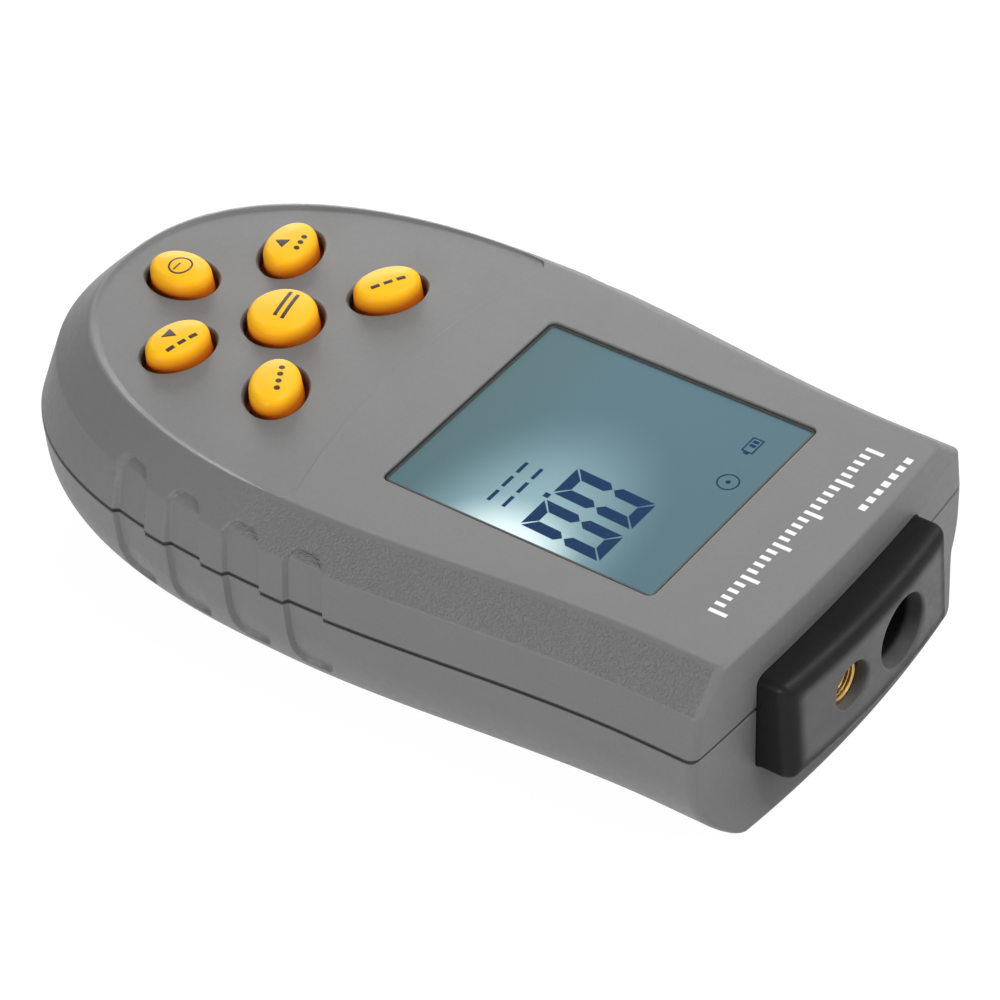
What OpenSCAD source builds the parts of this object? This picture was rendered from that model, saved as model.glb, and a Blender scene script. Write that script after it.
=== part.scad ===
// Hand-held laser tachometer, millimetres.
// X runs across the case, Y from the handle end to the sensor end, Z up from the back.
// The origin is under the middle of the whole object, on the surface that it lies on.

/* [Case outline] */
// Overall length, handle end to the front of the sensor block
case_len = 130; // [126:1:136]
// Height from the back to the top face
case_h = 29.3; // [28.7:0.1:31]
// Width at the foot of the bevel, sensor end
front_w = 59.7; // [58:0.1:61]
// Width at the foot of the bevel, at the grip
grip_w = 68.2; // [66.5:0.1:71]
// Distance from the handle end to the widest section
grip_from_end = 57; // [55:1:59]
// Length over which the sides flare out
flare_len = 58; // [50:1:62]
// Roundness of the handle end, 2 is an ellipse
end_power = 2.65; // [2.4:0.05:2.9]
// Power of the same curve at the foot of the bevel
foot_power = 2.25; // [2.1:0.05:2.5]
// Height of the bevel round the top face
bevel_h = 5.0; // [4:0.1:5.4]
// Width of the bevel in plan
bevel_w = 5.1; // [4.2:0.1:5.5]
// Outward lean of the upper wall, foot of the bevel to the seam
draft = 1.1; // [0.6:0.1:1.2]

/* [Seam and walls] */
// Height of the seam between the two shells
seam_z = 17.6; // [16.8:0.1:18.2]
// Open gap of the seam
seam_gap = 0.6; // [0.4:0.05:0.8]
// Thickness of the side walls
wall = 2.5; // [2.3:0.05:2.7]
// Thickness of the top wall
top_wall = 2.5; // [2.2:0.05:2.7]
// Thickness of the back
floor_t = 2.6; // [2.4:0.05:2.8]
// Height of the tongue above the seam
tongue_h = 1.9; // [1.4:0.1:2.2]
// Thickness of the tongue
tongue_t = 0.85; // [0.7:0.05:0.95]
// Side clearance of the tongue
tongue_clear = 0.1; // [0.05:0.01:0.15]

/* [Back and sensor end] */
// Height of the rounding along the lower edge
edge_h = 13; // [11:0.5:14]
// Inward reach of that rounding at the back
edge_in = 7; // [5.5:0.1:7.5]
// Radius of the bowed sensor end in plan
face_r = 350; // [250:10:600]
// Radius of the bow along the bottom of the sensor end
chin_r = 170; // [140:10:260]
// Radius of the vertical corners at the sensor end
corner_r = 1.4; // [1:0.1:2]
// How far the sensor end leans in towards the chin
face_lean = 1.15; // [0.6:0.05:1.4]
// Height at which the chin starts to flare
chin_h = 7; // [5:0.5:8]
// How far the chin stands out beyond the upper face
chin_out = 1.65; // [1:0.05:2]

/* [Grip flutes] */
// Flutes on each side
flute_count = 4; // [2:1:5]
// Width of a flute
flute_w = 6.5; // [5.5:0.1:7]
// Distance from flute to flute
flute_pitch = 10.35; // [9.5:0.05:11]
// Depth of a flute
flute_depth = 0.75; // [0.6:0.05:1.05]
// Distance from the handle end to the first flute
flute_from_end = 32.8; // [31:0.1:36]
// Top of a flute's arch
flute_top = 26; // [25:0.1:26.4]
// Lower end of a flute
flute_foot = 6; // [5:0.1:8]
// Corner radius at the lower end of a flute
flute_corner_r = 2; // [1:0.1:2.8]

/* [Display window] */
// Width of the window opening
window_w = 37.6; // [36:0.1:38]
// Distance from the widest section to the window
window_past_grip = 8.65; // [8.3:0.05:9.5]
// Distance from the sensor face back to the window
window_from_face = 15.95; // [15.8:0.05:18]
// Corner radius of the window
window_r = 1.1; // [0.8:0.1:2]
// Gap between the lens and the opening
lens_gap = 0.2; // [0.1:0.05:0.35]
// Depth of the lens below the top face
lens_set = 0.2; // [0.1:0.05:0.4]
// Thickness of the lens
lens_t = 0.7; // [0.6:0.05:1]
// Thickness of the liquid-crystal glass
glass_t = 2.6; // [2.2:0.05:2.8]
// Gap between that glass and the opening
glass_gap = 0.3; // [0.2:0.05:0.4]

/* [Keys] */
// Radius of the centre key
key_round_r = 5.05; // [4.8:0.05:5.4]
// Long half axis of an oval key
key_oval_a = 5.0; // [4.9:0.05:5.4]
// Short half axis of an oval key
key_oval_b = 3.75; // [3.6:0.05:4.2]
// Gap between a key and its well
key_gap = 0.6; // [0.5:0.05:1]
// Height of the key tops above the top face
key_rise = 2.2; // [2:0.1:3.2]
// Travel of a key
key_travel = 1.0; // [0.8:0.05:1.05]
// Distance from the handle end to the centre key
keys_from_end = 34; // [33.5:0.1:35]
// Side offset of the outer keys
key_side = 12.15; // [11.9:0.05:12.4]
// Distance from the centre key to the upper pair
key_up = 8.6; // [8.2:0.1:9]
// Distance from the centre key to the lower pair
key_down = 8.5; // [8.2:0.1:8.8]
// Distance from the centre key to the end key
key_end = 18.1; // [17.8:0.1:18.4]
// Turn of the upper pair, degrees
key_up_turn = 30; // [20:1:34]
// Turn of the lower pair, degrees
key_down_turn = 14; // [12:1:28]

/* [Sensor block] */
// Width of the block
block_w = 36.7; // [35.5:0.1:37.5]
// Lower face of the block
block_z0 = 6.2; // [6:0.1:7]
// Upper face of the block
block_z1 = 22.6; // [22:0.1:23]
// How far the block stands out from the case
block_out = 5.25; // [4.5:0.05:6]
// Corner radius of the block
block_corner_r = 1.3; // [0.8:0.1:2.8]
// Radius of the block's bowed front
block_face_r = 140; // [120:5:200]
// Wall of the block
block_wall = 1.6; // [1.4:0.1:1.9]
// Thickness of the block's front wall
block_front_t = 2.4; // [2:0.1:2.8]
// Radius of the receiver aperture
receiver_r = 5.2; // [5:0.05:5.3]
// Side offset of the receiver aperture
receiver_x = 5.85; // [5.8:0.05:6.2]
// Radius of the laser aperture
laser_r = 3.45; // [3.2:0.05:3.6]
// Side offset of the laser aperture
laser_x = 5.9; // [5.8:0.05:6.3]
// Wall of the two aperture tubes
tube_wall = 1.0; // [0.8:0.05:1.05]

/* [Battery] */
// Width of the battery
battery_w = 26.5; // [26:0.1:26.6]
// Length of the battery's body
battery_l = 46.4; // [45.5:0.1:46.6]
// Thickness of the battery
battery_t = 17.5; // [17:0.1:17.6]
// Width of the battery door
door_w = 31; // [30:0.1:31.6]
// Thickness of the battery door
door_t = 2.3; // [2.1:0.05:2.4]
// Clearance round the battery door
door_gap = 0.25; // [0.15:0.01:0.35]

/* [Hidden] */
$fn = 48;

// Cuts run this far past the faces that they open
over = 4;
// Small parts are let into what carries them by this much
bite = 0.5;
// Resting gap between a moving piece and its stop
rest_gap = 0.3;

// Stations along the length
end_y = -case_len / 2;
face_y = case_len / 2 - block_out;
wide_y = end_y + grip_from_end;
flare_y = wide_y + flare_len;
window_l = face_y - window_from_face - wide_y - window_past_grip;

// Levels
foot_z = case_h - bevel_h;
ceiling_z = case_h - top_wall;
upper_z0 = seam_z + seam_gap / 2;
lower_z1 = seam_z - seam_gap / 2;
tongue_z1 = seam_z + tongue_h;

// Radius of the lower edge rounding, from its height and reach
edge_r = (edge_h * edge_h + edge_in * edge_in) / (2 * edge_in);

// Counts of points along the half outline
front_steps = 5;
corner_steps = 3;
side_steps = 12;
end_steps = 14;

function ease(t) = t <= 0 ? 0 : t >= 1 ? 1 : t * t * (3 - 2 * t);
function mix(a, b, t) = a + (b - a) * t;

// Half width of the case at the foot of the bevel, beside station y
function side_x(y) = mix(front_w, grip_w, ease((flare_y - y) / (flare_y - wide_y))) / 2;

// Inset of the lower shell's wall at height z
function edge_inset(z) = z >= edge_h ? 0 : edge_r - sqrt(edge_r * edge_r - pow(edge_h - z, 2));

// Middle of the sensor end at height z, and the radius of its bow there
function chin_share(z) = z >= chin_h ? 0 : pow(1 - z / chin_h, 1.5);
function face_mid(z) = z >= foot_z ? face_y
    : z >= chin_h ? mix(face_y - face_lean, face_y, (z - chin_h) / (foot_z - chin_h))
    : mix(face_y - face_lean, face_y + chin_out, chin_share(z));
function face_bow(z) = 1 / mix(1 / face_r, 1 / chin_r, chin_share(z));

// Power of the handle end's curve at height z
function end_n(z) = z >= foot_z ? foot_power : z <= upper_z0 ? end_power
    : mix(end_power, foot_power, (z - upper_z0) / (foot_z - upper_z0));

// Plan outline of the case: d is the inset from the foot of the bevel, mid the middle of the
// sensor end, r the radius of its bow and n the power of the handle end. Clockwise from the
// middle of the sensor end.
function bow_y(x, mid, r) = mid - (r - sqrt(r * r - x * x));
function half_outline(d, mid, r, n) = let (
        half_front = front_w / 2 - d,
        half_grip = grip_w / 2 - d,
        tail = grip_from_end - draft - d,
        cx = half_front - corner_r,
        cy = bow_y(cx, mid, r) - corner_r)
    concat(
        [for (i = [0 : front_steps]) let (x = cx * i / front_steps) [x, bow_y(x, mid, r)]],
        [for (i = [1 : corner_steps]) let (a = 90 * i / corner_steps)
            [cx + corner_r * sin(a), cy + corner_r * cos(a)]],
        [for (i = [1 : side_steps]) let (y = mix(cy, wide_y, i / side_steps)) [side_x(y) - d, y]],
        [for (i = [1 : end_steps]) let (a = 90 * i / end_steps)
            [half_grip * pow(cos(a), 2 / n), wide_y - tail * pow(sin(a), 2 / n)]]);
function outline(d, mid, r, n) = let (half = half_outline(d, mid, r, n), last = len(half) - 1)
    concat(half, [for (i = [last - 1 : -1 : 1]) [-half[i].x, half[i].y]]);

// Solid through closed rings, each [points, height], from the lowest to the highest
module loft(rings) {
    n = len(rings[0][0]);
    last = len(rings) - 1;
    points = [for (ring = rings) for (p = ring[0]) [p.x, p.y, ring[1]]];
    faces = concat(
        [[for (i = [n - 1 : -1 : 0]) i], [for (i = [0 : n - 1]) last * n + i]],
        [for (k = [0 : last - 1]) for (i = [0 : n - 1]) let (j = (i + 1) % n)
            [k * n + i, k * n + j, (k + 1) * n + j]],
        [for (k = [0 : last - 1]) for (i = [0 : n - 1]) let (j = (i + 1) % n)
            [k * n + i, (k + 1) * n + j, (k + 1) * n + i]]);
    polyhedron(points, faces, convexity = 10);
}

// Ring of the outer surface at height z, moved in by inset
function upper_d(z) = z >= foot_z ? bevel_w * (z - foot_z) / bevel_h
    : -draft * (foot_z - z) / (foot_z - upper_z0);
function upper_ring(z, inset) =
    [outline(upper_d(z) + inset, face_mid(z) - inset, face_bow(z), end_n(z)), z];
function lower_ring(z, inset) =
    [outline(edge_inset(z) - draft + inset, face_mid(z) - inset, face_bow(z), end_n(z)), z];

// Heights of the lower shell's rings, as shares of the rounding's height
edge_shares = [0, 0.1, 0.2, 0.35, 0.54, 0.77, 1];

module upper_body(inset, z1) {
    loft([for (z = [upper_z0, foot_z, z1]) upper_ring(z, inset)]);
}
module lower_body(inset, z0, z1) {
    zs = concat([z0], [for (s = edge_shares) if (s * edge_h > z0) s * edge_h], [z1]);
    loft([for (z = zs) lower_ring(z, inset)]);
}

// Straight prism of the seam outline, moved in by inset
module seam_prism(inset, z0, z1) {
    translate([0, 0, z0]) linear_extrude(z1 - z0)
        polygon(outline(inset - draft, face_mid(seam_z) - inset, face_bow(seam_z), end_n(seam_z)));
}

// Rectangle with round corners, centred
module round_rect(w, h, r) {
    square([w - 2 * r, h], center = true);
    square([w, h - 2 * r], center = true);
    for (x = [-1, 1], y = [-1, 1]) translate([x * (w / 2 - r), y * (h / 2 - r)]) circle(r);
}

// Extrudes its child, drawn as [x, z], from station y0 to y1
module along_y(y0, y1) {
    translate([0, y1, 0]) rotate([90, 0, 0]) linear_extrude(y1 - y0) children();
}
module mirrored() {
    children();
    mirror([1, 0, 0]) children();
}

// Grip flutes: a prism through both sides, arched above and rounded below
flute_y0 = end_y + flute_from_end;
module flute_slots() {
    arch_z = flute_top - flute_w / 2;
    foot_mid = (arch_z + flute_foot + flute_corner_r) / 2;
    reach = grip_w / 2 + over;
    for (i = [0 : flute_count - 1])
        translate([-reach, flute_y0 + i * flute_pitch, 0]) rotate([90, 0, 90])
            linear_extrude(2 * reach) {
                translate([0, arch_z]) circle(flute_w / 2);
                translate([-flute_w / 2, flute_foot + flute_corner_r])
                    square([flute_w, 2 * (arch_z - foot_mid)]);
                translate([flute_corner_r - flute_w / 2, flute_foot])
                    square([flute_w - 2 * flute_corner_r, 2 * flute_corner_r]);
                for (s = [-1, 1])
                    translate([s * (flute_w / 2 - flute_corner_r), flute_foot + flute_corner_r])
                        circle(flute_corner_r);
            }
}

// Rubber mat under the keys and the neck of the main board under the mat
mat_margin = 0.6;
mat_side = 0.7;
mat_half = key_side + key_oval_a + key_gap + mat_side;
board_neck_half = mat_half + mat_margin;
board_clear = 0.4;

// Case screws: bosses meet at the seam, heads sit deep in the back
case_boss_r = 3.8;
case_shank_r = 1.3;
case_head_r = 2.4;
case_head_h = 1.8;
case_seat_z = 9;
case_screw_l = 13.5;
screw_clear = 0.2;
thread_clear = 0.05;
rear_boss_from_grip = 3;
front_boss_from_face = 10.35;
front_boss_in = 9.35;
rear_boss = [board_neck_half + board_clear + case_boss_r, wide_y - rear_boss_from_grip];
front_boss = [front_w / 2 - front_boss_in, face_y - front_boss_from_face];
case_bosses = [rear_boss, front_boss];
web_t = 1.4;

// Stack of boards and display under the ceiling
board_t = 1.6;
board_drop = 4;
board_z1 = ceiling_z - board_drop;
board_z0 = board_z1 - board_t;
lens_mid_y = face_y - window_from_face - window_l / 2;
glass_z1 = case_h - lens_set - lens_t;
glass_z0 = glass_z1 - glass_t;
glass_w = window_w - 2 * glass_gap;
glass_l = window_l - 2 * glass_gap;
frame_gap = 0.15;
frame_wall = 0.7;
frame_w = glass_w + 2 * frame_gap + 2 * frame_wall;
frame_l = glass_l + 2 * frame_gap + 2 * frame_wall;
strip_w = 1.6;
strip_inset = 0.2;
strip_end = 3;

// Board posts under the ceiling, beside the display
post_r = 1.9;
post_out = 1.35;
board_post_x = frame_w / 2 + post_out + post_r / 2;
board_post_y = [lens_mid_y - window_l * 0.4, lens_mid_y + window_l * 0.4];
board_screw_r = 0.9;
board_head_r = 1.7;
board_head_h = 1.2;
board_screw_l = 4.4;
board_edge = 1.6;

// Outline of the main board
board_half = board_post_x + board_edge;
board_y1 = lens_mid_y + frame_l / 2;
board_from_end = 8.7;
board_y0 = end_y + board_from_end;
board_neck_y = lens_mid_y - frame_l / 2 - post_out;
board_cut = 7;

// Posts on the back that carry the keypad end of the board
prop_r = 1.8;
prop_x = 17.3;
prop_from_end = 15;

// Keys: [x, y, long half axis, short half axis, turn]
keys_y = end_y + keys_from_end;
KEYS = [
    [0, keys_y, key_round_r, key_round_r, 0],
    [key_side, keys_y + key_up, key_oval_a, key_oval_b, key_up_turn],
    [-key_side, keys_y + key_up, key_oval_a, key_oval_b, -key_up_turn],
    [key_side, keys_y - key_down, key_oval_a, key_oval_b, -key_down_turn],
    [-key_side, keys_y - key_down, key_oval_a, key_oval_b, key_down_turn],
    [0, keys_y - key_end, key_oval_a, key_oval_b, 90]];
key_flange = 0.5;
key_flange_t = 1.3;
key_flange_z1 = ceiling_z - rest_gap;
key_flange_z0 = key_flange_z1 - key_flange_t;
mat_t = key_flange_z0 - key_travel - rest_gap / 2 - board_z1;
pill_r = 2.2;
pad_t = 0.1;
pill_z0 = board_z1 + pad_t + key_travel + rest_gap / 3;
pill_hole_r = pill_r + rest_gap;
well_rim = 0.7;
key_taper_share = 0.97;
// Rounding of a key's top: [share of the plan size, share of the rise]
key_top_shares = [[1, 0.45], [0.985, 0.66], [0.93, 0.82], [0.82, 0.92], [0.6, 0.98], [0.3, 1]];
oval_steps = 32;
// Points along the rounded mouth of a well
rim_shares = [0, 0.35, 0.7, 1];

function oval(a, b) = [for (i = [0 : oval_steps - 1]) let (t = -360 * i / oval_steps)
    [a * cos(t), b * sin(t)]];

module at_key(i) {
    translate([KEYS[i][0], KEYS[i][1], 0]) rotate([0, 0, KEYS[i][4]]) children();
}
module key_prism(i, grow, z0, z1) {
    at_key(i) translate([0, 0, z0]) linear_extrude(z1 - z0)
        polygon(oval(KEYS[i][2] + grow, KEYS[i][3] + grow));
}

// Sensor parts
aperture_drop = 0.15;
block_clear = 0.15;
block_mid_z = (block_z0 + block_z1) / 2;
aperture_z = block_mid_z - aperture_drop;
block_h = block_z1 - block_z0;
block_back = 11.4;
block_y1 = case_len / 2;
block_y0 = block_y1 - block_back;
block_flange = 1.5;
block_flange_t = 1.6;
tube_y0 = block_y0;
lens_seat_in = 0.9;
lens_depth = 7.5;
receiver_lens_t = 1.4;
receiver_lens_dome = 0.6;
barrel_clear = 0.08;
barrel_depth = 4.5;
barrel_l = 11.9;
barrel_wall = 1.3;
barrel_lip = 0.8;
barrel_hole_r = 1.35;
barrel_y1 = block_y1 - barrel_depth;
barrel_y0 = barrel_y1 - barrel_l;
fit_gap = 0.05;
laser_lens_t = 1.2;
diode_l = 4;
diode_pin_r = 0.25;
pin_spread = 1.27;
sensor_board_t = 1.2;
sensor_board_gap = 1.2;
sensor_board_side = 1.2;
sensor_board_half = front_boss.x - case_boss_r - sensor_board_side;
sensor_board_y1 = barrel_y0 - sensor_board_gap;
sensor_board_y0 = sensor_board_y1 - sensor_board_t;
sensor_board_seat = 1.6;
sensor_board_top_gap = 1.0;
sensor_board_z0 = floor_t + sensor_board_seat;
sensor_board_z1 = board_z0 - sensor_board_top_gap;
slot_side = 1.4;
slot_h = 11;
slot_clear = 0.1;
photo_r = 2.5;
photo_l = 3;

// Battery bay
bay_clear = 0.4;
bay_wall = 1.3;
bay_h = 11.5;
bay_half = battery_w / 2 + bay_clear;
battery_z0 = door_t + rest_gap;
battery_past_grip = 1.5;
battery_y1 = wide_y + battery_past_grip;
battery_y0 = battery_y1 - battery_l;
battery_edge_r = 1.5;
battery_cap_t = 1.2;
terminal_h = 2.1;
terminal_r = 2.85;
crown_r = 3.8;
crown_wall = 0.8;
terminal_pitch = 12.7;
snap_t = 2.6;
snap_h = 12.8;
snap_y0 = battery_y1 + terminal_h + slot_clear;
snap_y1 = snap_y0 + snap_t;
snap_ring_r = 3.7;
snap_clear = 0.12;
partition_t = 1.2;
partition_y0 = snap_y1 + bay_clear;
battery_mid_z = battery_z0 + battery_t / 2;
lead_r = 0.7;
lead_x = 4;
lead_z = battery_mid_z + snap_h * 0.36;
lead_bend = 2;
lead_run = 2.5;

// Battery door and its rails
door_y1 = partition_y0 - bay_clear;
rail_out = 1.0;
rail_t = 0.8;
rail_z0 = 0.95;
rail_clear = 0.15;
thumb_ridges = 5;
thumb_pitch = 2;
thumb_w = 0.8;
thumb_depth = 0.5;
thumb_l = 14;
thumb_from_end = 14;

module top_shell() {
    color([0.52, 0.52, 0.52]) difference() {
        union() {
            difference() {
                upper_body(0, case_h);
                upper_cavity(0);
                difference() {
                    flute_slots();
                    upper_body(flute_depth, case_h);
                }
            }
            intersection() {
                upper_cavity(bite);
                union() {
                    mirrored() for (p = case_bosses) translate([p.x, p.y, seam_z])
                        cylinder(r = case_boss_r, h = case_h - seam_z);
                    mirrored() for (y = board_post_y) translate([board_post_x, y, board_z1])
                        cylinder(r = post_r, h = case_h - board_z1);
                    mirrored() translate([rear_boss.x, rear_boss.y - web_t / 2, upper_z0])
                        cube([grip_w, web_t, case_h]);
                }
            }
        }
        difference() {
            seam_prism(wall - tongue_t - tongue_clear, upper_z0 - over, tongue_z1);
            seam_prism(wall + bite, upper_z0 - over, tongue_z1);
        }
        mirrored() for (p = case_bosses) translate([p.x, p.y, seam_z - over])
            cylinder(r = case_shank_r + thread_clear, h = case_seat_z + case_screw_l - seam_z + over + bite);
        mirrored() for (y = board_post_y) translate([board_post_x, y, board_z1 - over])
            cylinder(r = board_screw_r + thread_clear, h = board_screw_l - board_t + over + rest_gap);
        translate([0, lens_mid_y, ceiling_z - over]) linear_extrude(top_wall + 2 * over)
            round_rect(window_w, window_l, window_r);
        for (i = [0 : len(KEYS) - 1]) {
            key_prism(i, key_gap, ceiling_z - over, case_h + over);
            at_key(i) well_rim_cut(KEYS[i][2] + key_gap, KEYS[i][3] + key_gap);
        }
        block_cut();
    }
}
// Rounded mouth of a key well
module well_rim_cut(a, b) {
    rim = [for (s = rim_shares) let (grow = well_rim * (1 - cos(90 * s)))
        [oval(a + grow, b + grow), case_h - well_rim * (1 - sin(90 * s))]];
    loft(concat(rim, [[oval(a + well_rim, b + well_rim), case_h + over]]));
}
// Space inside the upper shell, grown into its walls
module upper_cavity(grow) {
    loft([for (z = [upper_z0 - over, foot_z, ceiling_z + grow])
        [outline(upper_d(max(z, upper_z0)) + wall - grow, face_mid(z) - wall + grow, face_bow(z), end_n(z)),
            z]]);
}
module block_cut() {
    translate([0, 0, block_mid_z]) along_y(block_y0 - over, block_y1 + over)
        round_rect(block_w + 2 * block_clear, block_h + 2 * block_clear, block_corner_r + block_clear);
}

module bottom_shell() {
    color([0.47, 0.47, 0.47]) difference() {
        union() {
            difference() {
                lower_body(0, 0, lower_z1);
                lower_cavity(0);
                difference() {
                    flute_slots();
                    lower_body(flute_depth, 0, lower_z1 + over);
                }
            }
            difference() {
                seam_prism(wall - tongue_t, lower_z1 - bite, tongue_z1);
                seam_prism(wall, lower_z1 - over, tongue_z1 + over);
            }
            intersection() {
                lower_cavity(bite);
                union() {
                    mirrored() for (p = case_bosses) translate([p.x, p.y, 0])
                        cylinder(r = case_boss_r, h = seam_z);
                    mirrored() translate([rear_boss.x, rear_boss.y - web_t / 2, 0])
                        cube([grip_w, web_t, lower_z1]);
                    mirrored() translate([bay_half, battery_y0 - bay_wall, 0])
                        cube([bay_wall, partition_y0 + partition_t - battery_y0 + bay_wall, floor_t + bay_h]);
                    translate([-bay_half - bite, partition_y0, 0])
                        cube([2 * (bay_half + bite), partition_t, floor_t + bay_h]);
                    mirrored() translate([prop_x, end_y + prop_from_end, 0]) cylinder(r = prop_r, h = board_z0);
                    mirrored() board_slot();
                }
            }
        }
        mirrored() for (p = case_bosses) translate([p.x, p.y, -over]) {
            cylinder(r = case_head_r + screw_clear, h = case_seat_z + over);
            cylinder(r = case_shank_r + screw_clear, h = seam_z + 2 * over);
        }
        translate([-door_w / 2 - door_gap, end_y - over, -over])
            cube([door_w + 2 * door_gap, door_y1 + door_gap - end_y + over, over + floor_t]);
        translate([-door_w / 2 - rail_out - rail_clear - door_gap, end_y - over, rail_z0 - rail_clear])
            cube([door_w + 2 * (rail_out + rail_clear + door_gap), door_y1 + door_gap - end_y + over,
                rail_t + 2 * rail_clear]);
        block_cut();
    }
}
// Space inside the lower shell, grown into its walls
module lower_cavity(grow) {
    zs = concat([floor_t - grow], [for (s = edge_shares) if (s * edge_h > floor_t) s * edge_h],
        [board_z0 + over]);
    loft([for (z = zs) lower_ring(z, wall - grow)]);
}
// Slotted guide that holds one edge of the sensor board
module board_slot() {
    difference() {
        translate([sensor_board_half - slot_side, sensor_board_y0 - slot_side, 0])
            cube([2 * slot_side, sensor_board_t + 2 * slot_side, sensor_board_z0 + slot_h]);
        translate([sensor_board_half - slot_side - over, sensor_board_y0 - slot_clear, sensor_board_z0])
            cube([slot_side + slot_clear + over, sensor_board_t + 2 * slot_clear, slot_h + over]);
    }
}

module battery_door() {
    color([0.47, 0.47, 0.47]) difference() {
        intersection() {
            lower_body(0, 0, lower_z1);
            union() {
                translate([-door_w / 2, end_y - over, 0])
                    cube([door_w, door_y1 - end_y + over, door_t]);
                translate([-door_w / 2 - rail_out, end_y - over, rail_z0])
                    cube([door_w + 2 * rail_out, door_y1 - end_y + over, rail_t]);
            }
        }
        for (i = [0 : thumb_ridges - 1])
            translate([-thumb_l / 2, end_y + thumb_from_end + i * thumb_pitch, -over])
                cube([thumb_l, thumb_w, over + thumb_depth]);
    }
}

module sensor_block() {
    color([0.2, 0.2, 0.21]) difference() {
        union() {
            intersection() {
                translate([0, 0, block_mid_z]) along_y(block_y0, block_y1)
                    round_rect(block_w, block_h, block_corner_r);
                block_bow(0);
            }
            translate([0, 0, block_mid_z]) along_y(block_y0, block_y0 + block_flange_t)
                round_rect(block_w + 2 * block_flange, block_h + 2 * block_flange, block_corner_r);
        }
        difference() {
            translate([0, 0, block_mid_z]) along_y(block_y0 - over, block_y1 - block_front_t)
                round_rect(block_w - 2 * block_wall, block_h - 2 * block_wall, block_corner_r - block_wall / 2);
            for (t = [[-receiver_x, receiver_r], [laser_x, laser_r]])
                translate([t[0], 0, aperture_z]) along_y(tube_y0, block_y1) circle(t[1] + tube_wall);
        }
        translate([-receiver_x, 0, aperture_z]) along_y(block_y1 - lens_depth, block_y1 + over)
            circle(receiver_r);
        translate([-receiver_x, 0, aperture_z]) along_y(block_y0 - over, block_y1 + over)
            circle(receiver_r - lens_seat_in);
        translate([laser_x, 0, aperture_z]) along_y(block_y0 - over, block_y1 + over) circle(laser_r);
    }
}
// Body with the block's bowed front
module block_bow(inset) {
    translate([0, block_y1 - block_face_r - inset, 0])
        cylinder(r = block_face_r, h = case_h, $fn = 128);
}

module display_lens() {
    color([0.75, 0.85, 0.85, 0.4]) translate([0, lens_mid_y, glass_z1]) linear_extrude(lens_t)
        round_rect(window_w - 2 * lens_gap, window_l - 2 * lens_gap, window_r - lens_gap);
}
module lcd_glass() {
    color([0.42, 0.55, 0.56]) translate([0, lens_mid_y, glass_z0]) linear_extrude(glass_t)
        round_rect(glass_w, glass_l, window_r - glass_gap);
}
module lcd_frame() {
    color([0.9, 0.9, 0.88]) translate([0, lens_mid_y, board_z1]) linear_extrude(ceiling_z - board_z1)
        difference() {
            square([frame_w, frame_l], center = true);
            square([frame_w - 2 * frame_wall, frame_l - 2 * frame_wall], center = true);
        }
}
strip_y1 = lens_mid_y + glass_l / 2 - strip_inset;
strip_y0 = strip_y1 - strip_w;
module backlight_panel() {
    panel_y0 = lens_mid_y - glass_l / 2;
    color([0.85, 0.93, 0.95]) translate([-glass_w / 2, panel_y0, board_z1])
        cube([glass_w, strip_y0 - rest_gap - panel_y0, glass_z0 - board_z1]);
}
module contact_strip() {
    color([0.85, 0.4, 0.5]) translate([strip_end - glass_w / 2, strip_y0, board_z1])
        cube([glass_w - 2 * strip_end, strip_w, glass_z0 - board_z1]);
}

module main_board() {
    color([0.1, 0.4, 0.22]) difference() {
        translate([0, 0, board_z0]) linear_extrude(board_t) polygon([
            [board_half, board_y1], [board_half, board_neck_y], [board_neck_half, board_neck_y],
            [board_neck_half, board_y0 + board_cut], [board_neck_half - board_cut, board_y0],
            [board_cut - board_neck_half, board_y0], [-board_neck_half, board_y0 + board_cut],
            [-board_neck_half, board_neck_y], [-board_half, board_neck_y], [-board_half, board_y1]]);
        mirrored() for (y = board_post_y) translate([board_post_x, y, board_z0 - over])
            cylinder(r = board_screw_r + screw_clear, h = board_t + 2 * over);
    }
}
// Cross-head screw, its bearing face at the origin, shank upwards
module screw(shank_r, shank_l, head_r, head_h) {
    difference() {
        union() {
            cylinder(r = shank_r, h = shank_l);
            translate([0, 0, -head_h]) cylinder(r = head_r, h = head_h);
        }
        for (a = [0, 90]) rotate([0, 0, a]) translate([-head_r * 0.6, -head_r * 0.13, -head_h - over])
            cube([head_r * 1.2, head_r * 0.26, over + head_h / 2]);
    }
}
module board_screws() {
    color([0.75, 0.75, 0.78]) mirrored() for (y = board_post_y)
        translate([board_post_x, y, board_z0])
            screw(board_screw_r, board_screw_l, board_head_r, board_head_h);
}
module case_screws() {
    color([0.6, 0.6, 0.62]) mirrored() for (p = case_bosses) translate([p.x, p.y, case_seat_z])
        screw(case_shank_r, case_screw_l, case_head_r, case_head_h);
}

module keypad_mat() {
    mat_y1 = keys_y + key_up + key_oval_a + key_gap + mat_margin;
    mat_y0 = board_y0 + mat_margin;
    color([0.85, 0.85, 0.82]) difference() {
        translate([0, 0, board_z1]) linear_extrude(mat_t) polygon([
            [mat_half, mat_y1], [mat_half, mat_y0 + board_cut], [mat_half - board_cut, mat_y0],
            [board_cut - mat_half, mat_y0], [-mat_half, mat_y0 + board_cut], [-mat_half, mat_y1]]);
        for (k = KEYS) translate([k[0], k[1], board_z1 - over])
            cylinder(r = pill_hole_r, h = mat_t + 2 * over);
    }
}
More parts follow.
